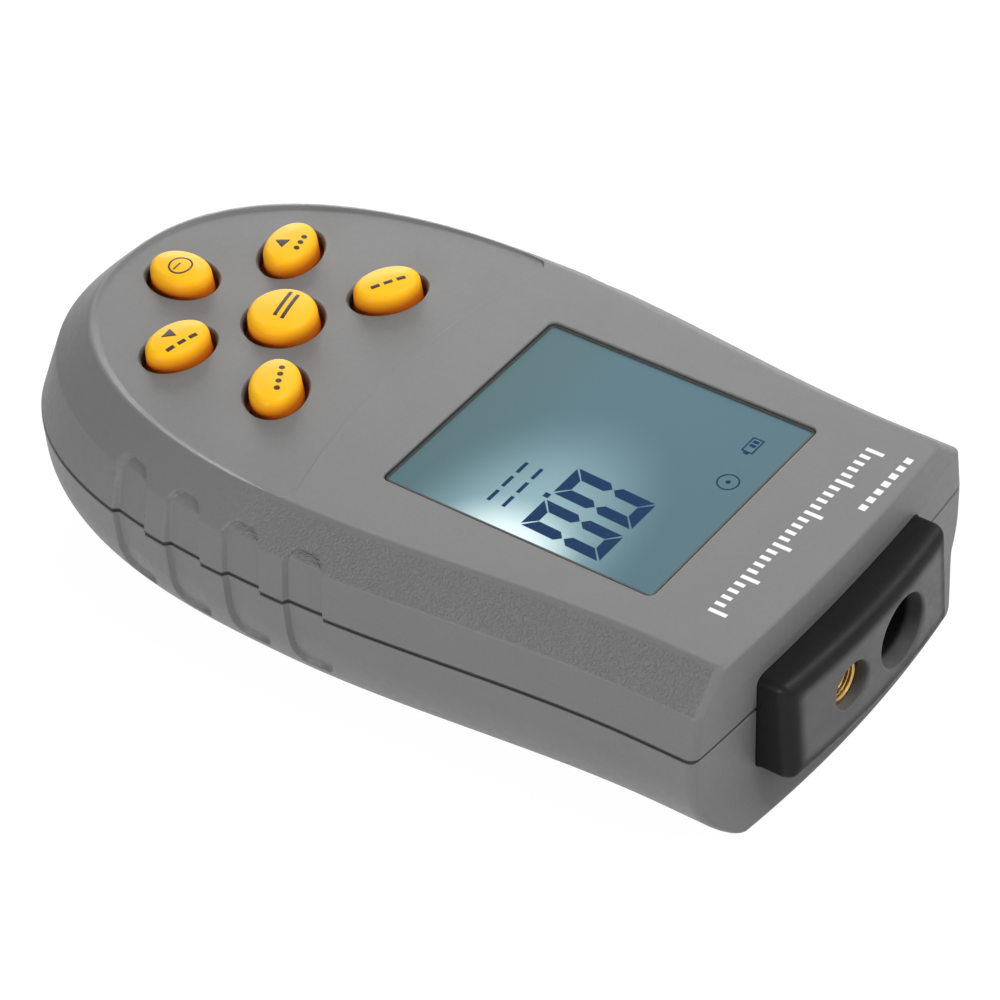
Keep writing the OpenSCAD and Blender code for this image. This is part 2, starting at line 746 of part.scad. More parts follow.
// Rubber key with the flange that keeps it in its well
module key(i) {
    rise = case_h + key_rise - key_flange_z1;
    color([1, 0.7, 0.16]) union() {
        key_prism(i, key_gap + key_flange, key_flange_z0, key_flange_z1);
        at_key(i) loft(concat(
            [[oval(KEYS[i][2], KEYS[i][3]), key_flange_z1 - bite]],
            [for (s = key_top_shares) let (k = s[0] * (s[1] < key_top_shares[1][1] ? 1 : key_taper_share))
                [oval(KEYS[i][2] * k, KEYS[i][3] * k), key_flange_z1 + rise * s[1]]]));
    }
}
module pill(i) {
    color([0.15, 0.15, 0.15]) translate([KEYS[i][0], KEYS[i][1], pill_z0])
        cylinder(r = pill_r, h = key_flange_z0 - pill_z0);
}
module contact_pads() {
    color([0.85, 0.65, 0.25]) for (k = KEYS) translate([k[0], k[1], board_z1])
        cylinder(r = pill_r, h = pad_t);
}

module laser_barrel() {
    color([0.72, 0.53, 0.25]) translate([laser_x, 0, aperture_z]) difference() {
        along_y(barrel_y0, barrel_y1) circle(laser_r - barrel_clear);
        along_y(barrel_y0 - over, barrel_y1 - barrel_lip) circle(laser_r - barrel_clear - barrel_wall);
        along_y(barrel_y0, barrel_y1 + over) circle(barrel_hole_r);
    }
}
barrel_bore_r = laser_r - barrel_clear - barrel_wall - fit_gap;
module laser_lens() {
    color([0.8, 0.9, 0.95, 0.5]) translate([laser_x, 0, aperture_z])
        along_y(barrel_y1 - barrel_lip - laser_lens_t, barrel_y1 - barrel_lip) circle(barrel_bore_r);
}
module laser_diode() {
    color([0.8, 0.75, 0.6]) translate([laser_x, 0, aperture_z]) {
        along_y(barrel_y0, barrel_y0 + diode_l) circle(barrel_bore_r);
        for (x = [-1, 0, 1]) translate([x * pin_spread, 0, 0])
            along_y(sensor_board_y1, barrel_y0 + bite) circle(diode_pin_r, $fn = 16);
    }
}
// Domed lens that rests on the step inside the receiver tube
module receiver_lens() {
    r = receiver_r - fit_gap;
    dome_r = (r * r + receiver_lens_dome * receiver_lens_dome) / (2 * receiver_lens_dome);
    color([0.8, 0.9, 0.95, 0.5])
        translate([-receiver_x, block_y1 - lens_depth, aperture_z]) rotate([-90, 0, 0]) {
            cylinder(r = r, h = receiver_lens_t);
            intersection() {
                translate([0, 0, receiver_lens_t + receiver_lens_dome - dome_r]) sphere(dome_r);
                cylinder(r = r, h = 2 * receiver_lens_t);
            }
        }
}
module photodiode() {
    photo_y0 = sensor_board_y1 + sensor_board_gap;
    color([0.12, 0.12, 0.14]) translate([-receiver_x, 0, aperture_z]) {
        along_y(photo_y0, photo_y0 + photo_l) circle(photo_r);
        for (x = [-1, 1]) translate([x * pin_spread, 0, 0])
            along_y(sensor_board_y1, photo_y0 + bite) circle(diode_pin_r, $fn = 16);
    }
}
module sensor_board() {
    color([0.1, 0.4, 0.22]) translate([-sensor_board_half, sensor_board_y0, sensor_board_z0])
        cube([2 * sensor_board_half, sensor_board_t, sensor_board_z1 - sensor_board_z0]);
}
connector_w = 12.7;
connector_h = 3.2;
connector_l = 3.4;
module board_connector() {
    color([0.15, 0.15, 0.16])
        translate([-connector_w / 2, sensor_board_y0 - connector_l, board_z0 - connector_h])
        cube([connector_w, connector_l, connector_h]);
}

// Nine-volt block: body, end cap and the two snap terminals
module battery() {
    color([0.75, 0.62, 0.3]) union() {
        translate([0, 0, battery_mid_z]) along_y(battery_y0, battery_y1 - battery_cap_t)
            round_rect(battery_w, battery_t, battery_edge_r);
        translate([0, 0, battery_mid_z]) along_y(battery_y1 - battery_cap_t - bite, battery_y1)
            round_rect(battery_w - battery_edge_r, battery_t - battery_edge_r, battery_edge_r);
        translate([terminal_pitch / 2, 0, battery_mid_z])
            along_y(battery_y1 - bite, battery_y1 + terminal_h) circle(terminal_r);
        translate([-terminal_pitch / 2, 0, battery_mid_z])
            along_y(battery_y1 - bite, battery_y1 + terminal_h) difference() {
                circle(crown_r);
                circle(crown_r - crown_wall);
            }
    }
}
module battery_snap() {
    color([0.1, 0.1, 0.1]) union() {
        translate([0, 0, battery_mid_z]) along_y(snap_y0, snap_y1)
            round_rect(battery_w - battery_edge_r, snap_h, battery_edge_r);
        translate([terminal_pitch / 2, 0, battery_mid_z])
            along_y(battery_y1 + snap_clear, snap_y0 + bite) difference() {
                circle(snap_ring_r);
                circle(terminal_r + snap_clear);
            }
        translate([-terminal_pitch / 2, 0, battery_mid_z])
            along_y(battery_y1 + snap_clear, snap_y0 + bite)
                circle(crown_r - crown_wall - snap_clear);
    }
}
// Short lead from the snap, over the partition and up to the board
module battery_lead(x) {
    translate([x, 0, lead_z]) along_y(snap_y1, snap_y1 + lead_run) circle(lead_r, $fn = 24);
    translate([x, snap_y1 + lead_run, lead_z + lead_bend]) rotate([90, 0, 90]) rotate([0, 0, -90])
        rotate_extrude(angle = 90, $fn = 24) translate([lead_bend, 0]) circle(lead_r, $fn = 24);
    translate([x, snap_y1 + lead_run + lead_bend, lead_z + lead_bend])
        cylinder(r = lead_r, h = board_z0 - lead_z - lead_bend, $fn = 24);
}
module battery_lead_red() { color([0.75, 0.12, 0.1]) battery_lead(lead_x); }
module battery_lead_black() { color([0.1, 0.1, 0.1]) battery_lead(-lead_x); }
foam_w = 18;
foam_l = 26;
module foam_pad() {
    battery_top = battery_z0 + battery_t;
    color([0.25, 0.25, 0.27])
        translate([-foam_w / 2, (battery_y0 + battery_y1 - foam_l) / 2, battery_top])
            cube([foam_w, foam_l, board_z0 - battery_top]);
}

// Larger components on the underside of the main board
chip_w = 12;
chip_t = 1.6;
can_w = 11;
can_l = 4.6;
can_h = 3.6;
cap_r = 3.1;
cap_l = 9;
part_pitch = 13;
module controller_chip() {
    color([0.12, 0.12, 0.13]) translate([-chip_w / 2, lens_mid_y - chip_w / 2, board_z0 - chip_t])
        cube([chip_w, chip_w, chip_t]);
}
module crystal() {
    color([0.75, 0.75, 0.78])
        translate([-part_pitch - can_w / 2, lens_mid_y - can_l / 2, board_z0 - can_h])
            cube([can_w, can_l, can_h]);
}
module capacitor() {
    color([0.15, 0.2, 0.4]) translate([part_pitch, 0, board_z0 - cap_r - fit_gap])
        along_y(lens_mid_y - cap_l / 2, lens_mid_y + cap_l / 2) circle(cap_r);
}

top_shell();
bottom_shell();
battery_door();
sensor_block();
display_lens();
lcd_glass();
lcd_frame();
backlight_panel();
contact_strip();
main_board();
board_screws();
case_screws();
keypad_mat();
key(0);  // key_centre
key(1);  // key_upper_right
key(2);  // key_upper_left
key(3);  // key_lower_right
key(4);  // key_lower_left
key(5);  // key_end_button
pill(0);  // pill_centre
pill(1);  // pill_upper_right
pill(2);  // pill_upper_left
pill(3);  // pill_lower_right
pill(4);  // pill_lower_left
pill(5);  // pill_end_button
contact_pads();
laser_barrel();
laser_lens();
laser_diode();
receiver_lens();
photodiode();
sensor_board();
board_connector();
battery();
battery_snap();
battery_lead_red();
battery_lead_black();
foam_pad();
controller_chip();
crystal();
capacitor();
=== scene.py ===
"""Hand-held laser tachometer: its looks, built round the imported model.

Shapes are worked out in millimetres and become metres when a mesh is made. The frame is the
model's own: X across the case, Y from the handle end to the sensor end, Z up from the back.
"""
import logging
import math
from dataclasses import dataclass
from enum import Enum

import bpy
import numpy as np
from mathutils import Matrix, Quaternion, Vector


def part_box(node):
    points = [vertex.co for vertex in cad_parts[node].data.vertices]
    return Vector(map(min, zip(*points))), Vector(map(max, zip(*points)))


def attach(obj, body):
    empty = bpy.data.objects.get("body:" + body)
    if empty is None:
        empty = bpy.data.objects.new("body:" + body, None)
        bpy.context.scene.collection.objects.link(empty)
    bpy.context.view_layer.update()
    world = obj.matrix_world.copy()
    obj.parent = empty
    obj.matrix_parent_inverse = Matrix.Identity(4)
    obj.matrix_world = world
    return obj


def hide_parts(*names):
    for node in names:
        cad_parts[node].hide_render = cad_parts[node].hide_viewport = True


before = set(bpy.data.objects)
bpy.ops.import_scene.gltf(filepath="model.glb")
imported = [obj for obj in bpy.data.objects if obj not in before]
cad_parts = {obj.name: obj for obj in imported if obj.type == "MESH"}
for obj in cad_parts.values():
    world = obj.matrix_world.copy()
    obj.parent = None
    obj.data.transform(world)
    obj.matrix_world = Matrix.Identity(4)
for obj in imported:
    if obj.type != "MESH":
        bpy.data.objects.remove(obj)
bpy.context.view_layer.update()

log = logging.getLogger("tachometer")

MM = 0.001
PAST = 4.0  # how far a tool runs past the body that it cuts
LAP = 0.5  # how far bodies that are joined run into each other
BLOCK_FLANGE = 1.5
BLOCK_CORNER_R = 1.3

Array = np.ndarray
Thing = bpy.types.Object
Faces = list[Array]
Shape = tuple[Array, Faces]
Pair = tuple[float, float]
Triple = tuple[float, float, float]
Colour = tuple[float, float, float, float]
Material = bpy.types.Material
Socket = bpy.types.NodeSocket


class Step(Enum):
    """How a tool body changes the body that it is applied to."""

    CUT = "DIFFERENCE"
    JOIN = "UNION"
    KEEP = "INTERSECT"


class Slot(Enum):
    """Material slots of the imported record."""

    CASE = "case_grey"
    BLOCK = "block_black"
    LENS = "lens_clear"
    KEY = "key_rubber"
    PRINT = "carbon_black"
    OPTIC = "optic_clear"
    WHITE = "white_plastic"
    BRASS = "barrel_brass"


def ease(t: Array) -> Array:
    """Smooth step from 0 to 1: 3t^2 - 2t^3 inside the range, flat outside."""
    t = np.clip(t, 0.0, 1.0)
    return t * t * (3.0 - 2.0 * t)


def mix(a: Array, b: Array, t: Array) -> Array:
    """Straight mix from a at t = 0 to b at t = 1."""
    return a + (b - a) * t


def corners(node: str) -> tuple[Array, Array]:
    """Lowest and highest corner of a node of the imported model, in millimetres."""
    low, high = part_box(node)
    return np.array(low) / MM, np.array(high) / MM


def quarter_turn(count: int) -> Array:
    """Angles from 0 to a quarter turn, both ends included, in count equal steps."""
    return np.linspace(0.0, math.pi / 2, count + 1)


def full_turn(count: int = 48) -> Array:
    """Angles of count points spaced evenly round a circle."""
    return np.linspace(0.0, 2 * math.pi, count, endpoint=False)


def sagitta(radius: Array, reach: Array) -> Array:
    """Drop of an arc at a distance from its middle: r - sqrt(r^2 - d^2)."""
    return radius - np.sqrt(radius**2 - reach**2)


def round_corner(before: Array, corner: Array, after: Array, radius: float, steps: int) -> Array:
    """Points of the arc that rounds one corner of a path in a plane.

    The arc touches both legs at radius * tan(turn / 2) from the corner, and its centre lies on
    the line that halves the angle between them.

    Args:
        before: the path's point before the corner.
        corner: the corner itself.
        after: the path's point after it.
        radius: radius of the arc.
        steps: number of steps along the arc.

    Returns:
        steps + 1 points from the first leg to the second.
    """
    leg_in = (corner - before) / np.linalg.norm(corner - before)
    leg_out = (after - corner) / np.linalg.norm(after - corner)
    turn = math.acos(float(np.clip(leg_in @ leg_out, -1.0, 1.0)))
    start = corner - leg_in * radius * math.tan(turn / 2)
    across = leg_out - leg_in * (leg_in @ leg_out)
    across = across / np.linalg.norm(across)
    angles = np.linspace(0.0, turn, steps + 1)[:, None]
    return start + radius * (np.sin(angles) * leg_in + (1.0 - np.cos(angles)) * across)


def spaced(start: Array, end: Array, step: float) -> Array:
    """Points on a straight line from start up to, but not with, end, at most step apart."""
    count = max(1, math.ceil(float(np.linalg.norm(end - start)) / step))
    return start + (end - start) * (np.arange(count) / count)[:, None]


def rounded_path(points: list[Pair], radii: list[float], step: float) -> Array:
    """Path through points whose inner corners are rounded and whose straight parts are divided.

    Args:
        points: corners of the path.
        radii: one radius for each inner corner.
        step: longest step along a straight part.

    Returns:
        The points of the path, in order.
    """
    knots = np.array(points, float)
    arcs = [
        round_corner(knots[i], knots[i + 1], knots[i + 2], radii[i], max(3, math.ceil(4 * radii[i])))
        for i in range(len(radii))
    ]
    stretches = [knots[:1], *arcs, knots[-1:]]
    pieces = []
    for here, there in zip(stretches, stretches[1:]):
        pieces += [here[:-1], spaced(here[-1], there[0], step)]
    return np.concatenate([*pieces, knots[-1:]])


def loft(rings: Array, joined: bool = False) -> Shape:
    """Closed surface through rings of points, capped at both ends or joined last to first.

    Args:
        rings: array of rows, points and coordinates.
        joined: True for a ring-shaped body, whose last row meets its first.

    Returns:
        The points and the arrays of faces.
    """
    rows, count = rings.shape[:2]
    index = np.arange(rows * count).reshape(rows, count)
    beside = np.roll(index, -1, axis=1)
    above, above_beside = (np.roll(a, -1, axis=0) for a in (index, beside))
    last = rows if joined else rows - 1
    quads = np.stack([index, beside, above_beside, above], axis=-1)[:last].reshape(-1, 4)
    caps = [] if joined else [index[:1, ::-1], index[-1:]]
    return rings.reshape(-1, 3), [quads, *caps]


def at_heights(rings: Array, z: Array) -> Array:
    """Outlines in plan, one for each row, with the row's height added to each point."""
    return np.concatenate([rings, np.broadcast_to(z[:, None, None], (*rings.shape[:2], 1))], axis=-1)


def spun(middle: Pair, reach: Array, along: Array, count: int = 72, joined: bool = False) -> Shape:
    """Surface turned round a line along Y: a circle of each reach at each station.

    Args:
        middle: X and Z of the line.
        reach: radius of each circle.
        along: Y of each circle.
        count: points round each circle.
        joined: True for a ring-shaped body.

    Returns:
        The points and the arrays of faces.
    """
    turn = full_turn(count)
    x = middle[0] + reach[:, None] * np.cos(turn)
    z = middle[1] + reach[:, None] * np.sin(turn)
    return loft(np.stack([x, np.broadcast_to(along[:, None], x.shape), z], axis=-1), joined)


def slab(top: Array, bottom: Array) -> Shape:
    """Closed body between two sheets of points on the same grid.

    Args:
        top: grid of points, rows by columns by three.
        bottom: the grid under it.

    Returns:
        The points and the arrays of faces.
    """
    rows, count = top.shape[:2]
    index = np.arange(rows * count).reshape(rows, count)
    quads = np.stack([index[:-1, :-1], index[:-1, 1:], index[1:, 1:], index[1:, :-1]], axis=-1).reshape(-1, 4)
    rim = np.concatenate([index[0, :-1], index[:-1, -1], index[-1, :0:-1], index[:0:-1, 0]])
    ahead = np.roll(rim, -1)
    under = rows * count
    walls = np.stack([ahead, rim, rim + under, ahead + under], axis=-1)
    points = np.concatenate([top.reshape(-1, 3), bottom.reshape(-1, 3)])
    return points, [quads, quads[:, ::-1] + under, walls]


def volume(points: Array, faces: Faces) -> float:
    """Signed volume of a closed surface: a sixth of the sum of its fan triangles' triple products."""
    total = 0.0
    for group in faces:
        first = points[group[:, :1]]
        left, right = points[group[:, 1:-1]], points[group[:, 2:]]
        total += float(np.sum(np.cross(left, right) * first)) / 6.0
    return total


def outwards(points: Array, faces: Faces) -> Faces:
    """The faces of a closed surface, turned over if they point inwards."""
    return [group[:, ::-1] for group in faces] if volume(points, faces) < 0 else faces


def make_thing(name: str, shape: Shape) -> Thing:
    """Object from a closed surface, turned so that its faces point outwards.

    Args:
        name: name of the piece.
        shape: points in millimetres and arrays of faces.

    Returns:
        The new object, at the origin, smooth shaded.
    """
    points, faces = shape
    faces = outwards(points, faces)
    sides = np.concatenate([np.full(len(group), group.shape[1]) for group in faces])
    loops = np.concatenate([group.ravel() for group in faces]).astype(np.int32)
    mesh = bpy.data.meshes.new(name)
    mesh.vertices.add(len(points))
    mesh.vertices.foreach_set("co", (points * MM).astype(np.float32).ravel())
    mesh.loops.add(len(loops))
    mesh.loops.foreach_set("vertex_index", loops)
    mesh.polygons.add(len(sides))
    mesh.polygons.foreach_set("loop_start", (np.cumsum(sides) - sides).astype(np.int32))
    mesh.update(calc_edges=True)
    mesh.validate()
    mesh.polygons.foreach_set("use_smooth", np.ones(len(mesh.polygons), bool))
    thing = bpy.data.objects.new(name, mesh)
    bpy.context.scene.collection.objects.link(thing)
    return thing


def bake(thing: Thing) -> None:
    """Applies a piece's modifiers to its mesh."""
    graph = bpy.context.evaluated_depsgraph_get()
    made = bpy.data.meshes.new_from_object(thing.evaluated_get(graph))
    thing.modifiers.clear()
    old, thing.data = thing.data, made
    made.name = thing.name
    bpy.data.meshes.remove(old)


def tools(*shapes: Shape) -> list[Thing]:
    """Tool bodies from closed surfaces."""
    return [make_thing("tool", shape) for shape in shapes]


def work(body: Thing, *steps: tuple[Step, list[Thing]]) -> None:
    """Cuts, joins or keeps a body with groups of tool bodies, in order, and removes the tools.

    Args:
        body: the piece to change.
        steps: what to do, and the tool bodies to do it with.
    """
    for step, group in steps:
        for tool in group:
            change = body.modifiers.new("step", "BOOLEAN")
            change.operation = step.value
            change.solver = "MANIFOLD"
            change.object = tool
    bake(body)
    for tool in [tool for _, group in steps for tool in group]:
        mesh = tool.data
        bpy.data.objects.remove(tool)
        bpy.data.meshes.remove(mesh)


def settle(thing: Thing, crease: float = 32.0) -> Thing:
    """Keeps edges sharper than crease degrees crisp, and lets large flat faces shade flat."""
    thing.data.polygons.foreach_set("use_smooth", np.ones(len(thing.data.polygons), bool))
    thing.data.set_sharp_from_angle(angle=math.radians(crease))
    even = thing.modifiers.new("even", "WEIGHTED_NORMAL")
    even.keep_sharp = True
    even.weight = 100
    bake(thing)
    return thing


def prism(outline: Array, z0: float, z1: float) -> Shape:
    """Straight body over a closed outline in plan, from z0 to z1."""
    return loft(at_heights(np.stack([outline, outline]), np.array([z0, z1])))


def rectangle(x0: float, y0: float, x1: float, y1: float) -> Array:
    """Outline of a rectangle between two corners, anticlockwise."""
    return np.array([[x0, y0], [x1, y0], [x1, y1], [x0, y1]])


def box_body(low: Triple, high: Triple) -> Shape:
    """Box between two corners, for cutting and joining."""
    return prism(rectangle(low[0], low[1], high[0], high[1]), low[2], high[2])


def circle(x: float, y: float, radius: float, count: int = 48) -> Array:
    """Points of a circle in a plane: the centre plus radius times (cos, sin)."""
    turn = full_turn(count)
    return np.stack([x + radius * np.cos(turn), y + radius * np.sin(turn)], axis=-1)


def round_rectangle(
    width: float, height: float, radius: float, steps: int = 8, between: tuple[int, int] = (0, 0)
) -> Array:
    """Outline of a rectangle with quarter-circle corners, centred on the origin.

    Args:
        width: size across.
        height: size up.
        radius: radius of the corners.
        steps: number of steps round each corner.
        between: points added inside each side that runs across and each that runs up.

    Returns:
        The points, anticlockwise.
    """
    turn = (np.arange(4)[:, None] + np.linspace(0.0, 1.0, steps + 1)) * math.pi / 2
    middle_x = (width / 2 - radius) * np.array([1, -1, -1, 1])[:, None]
    middle_y = (height / 2 - radius) * np.array([1, 1, -1, -1])[:, None]
    x, y = middle_x + radius * np.cos(turn), middle_y + radius * np.sin(turn)
    arcs = np.stack([x, y], axis=-1)
    made = []
    for i in range(4):
        made += [arcs[i], np.linspace(arcs[i, -1], arcs[(i + 1) % 4, 0], between[i % 2] + 2)[1:-1]]
    return np.concatenate(made)


def stand_up(shape: Shape, lift: float = 0.0) -> Shape:
    """Turns a body drawn upwards so that it runs along Y: (x, y, z) becomes (x, z, y + lift)."""
    points, faces = shape
    return points[:, [0, 2, 1]] + np.array([0.0, 0.0, lift]), faces


def outward(ring: Array) -> Array:
    """Unit normals, in plan, of closed rings that run clockwise: the tangent turned left."""
    tangent = np.roll(ring, -1, axis=-2) - np.roll(ring, 1, axis=-2)
    normal = np.stack([-tangent[..., 1], tangent[..., 0]], axis=-1)
    return normal / np.maximum(np.linalg.norm(normal, axis=-1, keepdims=True), 1e-9)


def dress(thing: Thing, body: str, material: Material, slot: Slot, *nodes: str) -> Thing:
    """Gives a finished piece its material and the body it rides on, and hides the nodes it stands for.

    Args:
        thing: the finished piece.
        body: name of the body of the model that it moves with.
        material: its finish.
        slot: the record's slot that the finish belongs to; not used.
        nodes: nodes of the model that it replaces, if any.

    Returns:
        The same piece.
    """
    thing.data.materials.clear()
    thing.data.materials.append(material)
    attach(thing, body)
    if nodes:
        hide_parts(*nodes)
    log.info("%s: %d faces on %s", thing.name, len(thing.data.polygons), body)
    return thing


class Graph:
    """Short way to write the node tree of a material."""

    def __init__(self, owner: Material | bpy.types.World) -> None:
        """Starts an empty tree on a material or a world."""
        owner.use_nodes = True
        self.material = owner
        self.tree = owner.node_tree
        self.tree.nodes.clear()

    def add(self, kind: str, sockets: dict | None = None, **settings: object) -> bpy.types.Node:
        """Adds a node.

        Args:
            kind: the node's type, without the words that all shader nodes share.
            sockets: inputs by name or number, each a value or an output to link.
            settings: the node's own properties.

        Returns:
            The node.
        """
        node = self.tree.nodes.new("ShaderNode" + kind)
        for key, value in settings.items():
            setattr(node, key, value)
        for key, value in (sockets or {}).items():
            if isinstance(value, Socket):
                self.tree.links.new(value, node.inputs[key])
            else:
                node.inputs[key].default_value = value
        return node

    def math(self, operation: str, a: object, b: object = 0.0) -> Socket:
        """Output of a Math node with two inputs."""
        return self.add("Math", {0: a, 1: b}, operation=operation).outputs[0]

    def times(self, first: object, *others: object) -> Socket:
        """Product of all the values."""
        for other in others:
            first = self.math("MULTIPLY", first, other)
        return first

    def length(self, a: Socket, b: Socket) -> Socket:
        """Length of a line from its two parts: the root of the sum of their squares."""
        return self.math("SQRT", self.math("ADD", self.times(a, a), self.times(b, b)))

    def ramp(self, value: object, low: float, high: float, first: float = 0.0, last: float = 1.0) -> Socket:
        """Value eased from first at low to last at high."""
        sockets = {"Value": value, "From Min": low, "From Max": high, "To Min": first, "To Max": last}
        return self.add("MapRange", sockets, interpolation_type="SMOOTHSTEP").outputs["Result"]

    def ramp_mm(self, place: object, low: float, high: float, down: bool = False) -> Socket:
        """Eased from 0 at low to 1 at high, both in millimetres, or from 1 to 0 for down."""
        return self.ramp(place, low * MM, high * MM, float(down), float(not down))

    def blend(self, share: object, a: object, b: object) -> Socket:
        """Colour mixed from a to b by share."""
        return self.add("Mix", {0: share, 6: a, 7: b}, data_type="RGBA").outputs[2]

    def place(self) -> bpy.types.Node:
        """Object coordinates of the piece, in metres, split into X, Y and Z."""
        return self.add("SeparateXYZ", {0: self.coords()})

    def coords(self) -> Socket:
        """Object coordinates of the piece, in metres."""
        return self.add("TexCoord").outputs["Object"]

    def noise(self, size_mm: float, detail: float = 2.0, rough: float = 0.5) -> Socket:
        """Noise whose blobs are about size_mm across."""
        scale = 1.0 / (size_mm * MM)
        sockets = {"Vector": self.coords(), "Scale": scale, "Detail": detail, "Roughness": rough}
        return self.add("TexNoise", sockets).outputs["Fac"]

    def cloud(self, size_mm: float, low: float, high: float, detail: float = 2.0) -> Socket:
        """Noise spread softly between two levels."""
        return self.ramp(self.noise(size_mm, detail), 0.3, 0.7, low, high)

    def scaled(self, colour: object, share: object) -> Socket:
        """Colour, without its alpha, times a share."""
        return self.add("VectorMath", {0: colour, 3: share}, operation="SCALE").outputs[0]

    def bump(self, height: object, depth_mm: float, normal: object = None) -> Socket:
        """Bumped normal from a height from 0 to 1 that stands for depth_mm."""
        sockets = {"Height": height, "Distance": depth_mm * MM, "Strength": 1.0}
        if normal is not None:
            sockets["Normal"] = normal
        return self.add("Bump", sockets).outputs["Normal"]

    def finish(self, **sockets: object) -> Material:
        """Closes the tree with a Principled shader whose sockets are given with _ for spaces.

        Args:
            sockets: values or outputs for the shader's inputs.

        Returns:
            The material.
        """
        named = {key.replace("_", " "): value for key, value in sockets.items()}
        shader = self.add("BsdfPrincipled", named)
        self.add("OutputMaterial", {"Surface": shader.outputs[0]})
        return self.material


def grey(level: float) -> Colour:
    """Opaque grey of one level, in linear light."""
    return (level, level, level, 1.0)


@dataclass(frozen=True)
class CasePlastic:
    """Grey moulded plastic, fine all over, spark grained on the long bevels, with a band of painted shade at
    the seam.
    """

    seam_mm: Pair = (17.43, 17.77)
    level: float = 0.150
    mottle_mm: float = 9.0
    speck_mm: float = 0.16
    speck_depth_mm: float = 0.006
    grain_mm: float = 0.37
    grain_depth_mm: float = 0.115
    pebble_cut: Pair = (0.36, 0.64)
    grain_z_mm: Pair = (24.3, 29.0)
    grain_edge_mm: float = 0.25
    grain_y_mm: Pair = (-22.0, 2.0)
    front_y_mm: float = 57.6
    seam_edge_mm: float = 0.05
    seam_shade_level: float = 0.12
    roughness: float = 0.5

    def material(self) -> Material:
        """Makes the material: base colour with faint mottling and a band of painted shade at the seam, two
        bumps and a grained zone.
        """
        g = Graph(bpy.data.materials.new("case_plastic"))
        spot = g.place()
        height, along = spot.outputs["Z"], spot.outputs["Y"]
        edge, front, (low, high) = self.grain_edge_mm, self.front_y_mm, self.grain_z_mm
        zone = g.times(
            g.ramp_mm(height, low, low + edge),
            g.ramp_mm(height, high - edge, high, down=True),
            g.ramp_mm(along, *self.grain_y_mm),
            g.ramp_mm(along, front - edge, front + edge, down=True),
        )
        pebbles = g.ramp(g.noise(self.grain_mm, detail=1.5, rough=0.6), *self.pebble_cut)
        specks = g.bump(g.noise(self.speck_mm, detail=1.0), self.speck_depth_mm)
        soft, (first, last) = self.seam_edge_mm, self.seam_mm
        # Painted shade: the colour is darkened in a thin band at the seam's heights, where the gap between
        # the shells lies in shade.
        seam_shade = g.times(
            g.ramp_mm(height, first - soft, first - soft / 2),
            g.ramp_mm(height, last + soft / 2, last + soft, down=True),
        )
        shade = g.times(
            g.cloud(self.mottle_mm, 0.985, 1.015, 3.0),
            g.cloud(self.speck_mm * 3, 0.975, 1.025),
            g.ramp(seam_shade, 0.0, 1.0, 1.0, self.seam_shade_level),
        )
        return g.finish(
            Base_Color=g.scaled(grey(self.level)[:3], shade),
            Roughness=g.cloud(self.speck_mm * 6, self.roughness - 0.04, self.roughness + 0.04),
            Normal=g.bump(g.times(pebbles, zone), self.grain_depth_mm, specks),
            Specular_IOR_Level=0.35,
        )


@dataclass(frozen=True)
class BlockPlastic:
    """Black moulded plastic whose flat front is painted a soft grey, a painted sheen for the light that the
    black front reflects.
    """

    dark: float = 0.009
    # Grey of the front: painted sheen, light reflected off the black plastic, not the plastic's own colour.
    front: float = 0.098
    half_width_mm: float = 16.9
    half_height_mm: float = 6.7
    mid_z_mm: float = 14.4
    fade_mm: float = 1.9
    front_y_mm: Pair = (61.6, 62.6)
    speck_mm: float = 0.3
    speck_depth_mm: float = 0.02
    roughness: float = 0.42

    def material(self) -> Material:
        """Makes the material: black, mixed by place to a painted grey sheen on the front."""
        g = Graph(bpy.data.materials.new("block_plastic"))
        spot = g.place()
        across = g.math("ABSOLUTE", spot.outputs["X"])
        up = g.math("ABSOLUTE", g.math("SUBTRACT", spot.outputs["Z"], self.mid_z_mm * MM))
        # Where the painted sheen lies: the flat front, fading out towards its edges.
        sheen_share = g.times(
            g.ramp_mm(across, self.half_width_mm - self.fade_mm, self.half_width_mm, down=True),
            g.ramp_mm(up, self.half_height_mm - self.fade_mm, self.half_height_mm, down=True),
            g.ramp_mm(spot.outputs["Y"], *self.front_y_mm),
        )
        colour = g.blend(sheen_share, grey(self.dark), grey(self.front))
        return g.finish(
            Base_Color=g.scaled(colour, g.cloud(5.0, 0.92, 1.08, 3.0)),
            Roughness=g.cloud(1.5, self.roughness - 0.05, self.roughness + 0.05),
            Normal=g.bump(g.noise(self.speck_mm), self.speck_depth_mm),
            Specular_IOR_Level=0.12,
        )


@dataclass(frozen=True)
class KeyRubber:
    """Satin rubber, yellow on top, and a deeper orange down the sides and at the foot that is painted shade
    and translucency.
    """

    top: Colour = (1.0, 0.54, 0.018, 1.0)
    # The side and foot colours are painted shade and translucency: the orange deepens lower down the key.
    side: Colour = (0.97, 0.43, 0.010, 1.0)
    foot: Colour = (0.60, 0.13, 0.010, 1.0)
    top_z_mm: float = 31.3
    side_z_mm: float = 30.3
    foot_z_mm: float = 28.7
    roughness: float = 0.42

    def material(self) -> Material:
        """Makes the material: colour by height, with painted shade and translucency darker towards the foot,
        a fine skin and a soft sheen.
        """
        g = Graph(bpy.data.materials.new("key_rubber"))
        height = g.place().outputs["Z"]
        lower = g.blend(g.ramp_mm(height, self.foot_z_mm, self.side_z_mm), self.foot, self.side)
        return g.finish(
            Base_Color=g.blend(g.ramp_mm(height, self.side_z_mm, self.top_z_mm), lower, self.top),
            Roughness=g.cloud(0.9, self.roughness - 0.04, self.roughness + 0.05),
            Normal=g.bump(g.noise(0.25), 0.006),
            Specular_IOR_Level=0.12,
        )


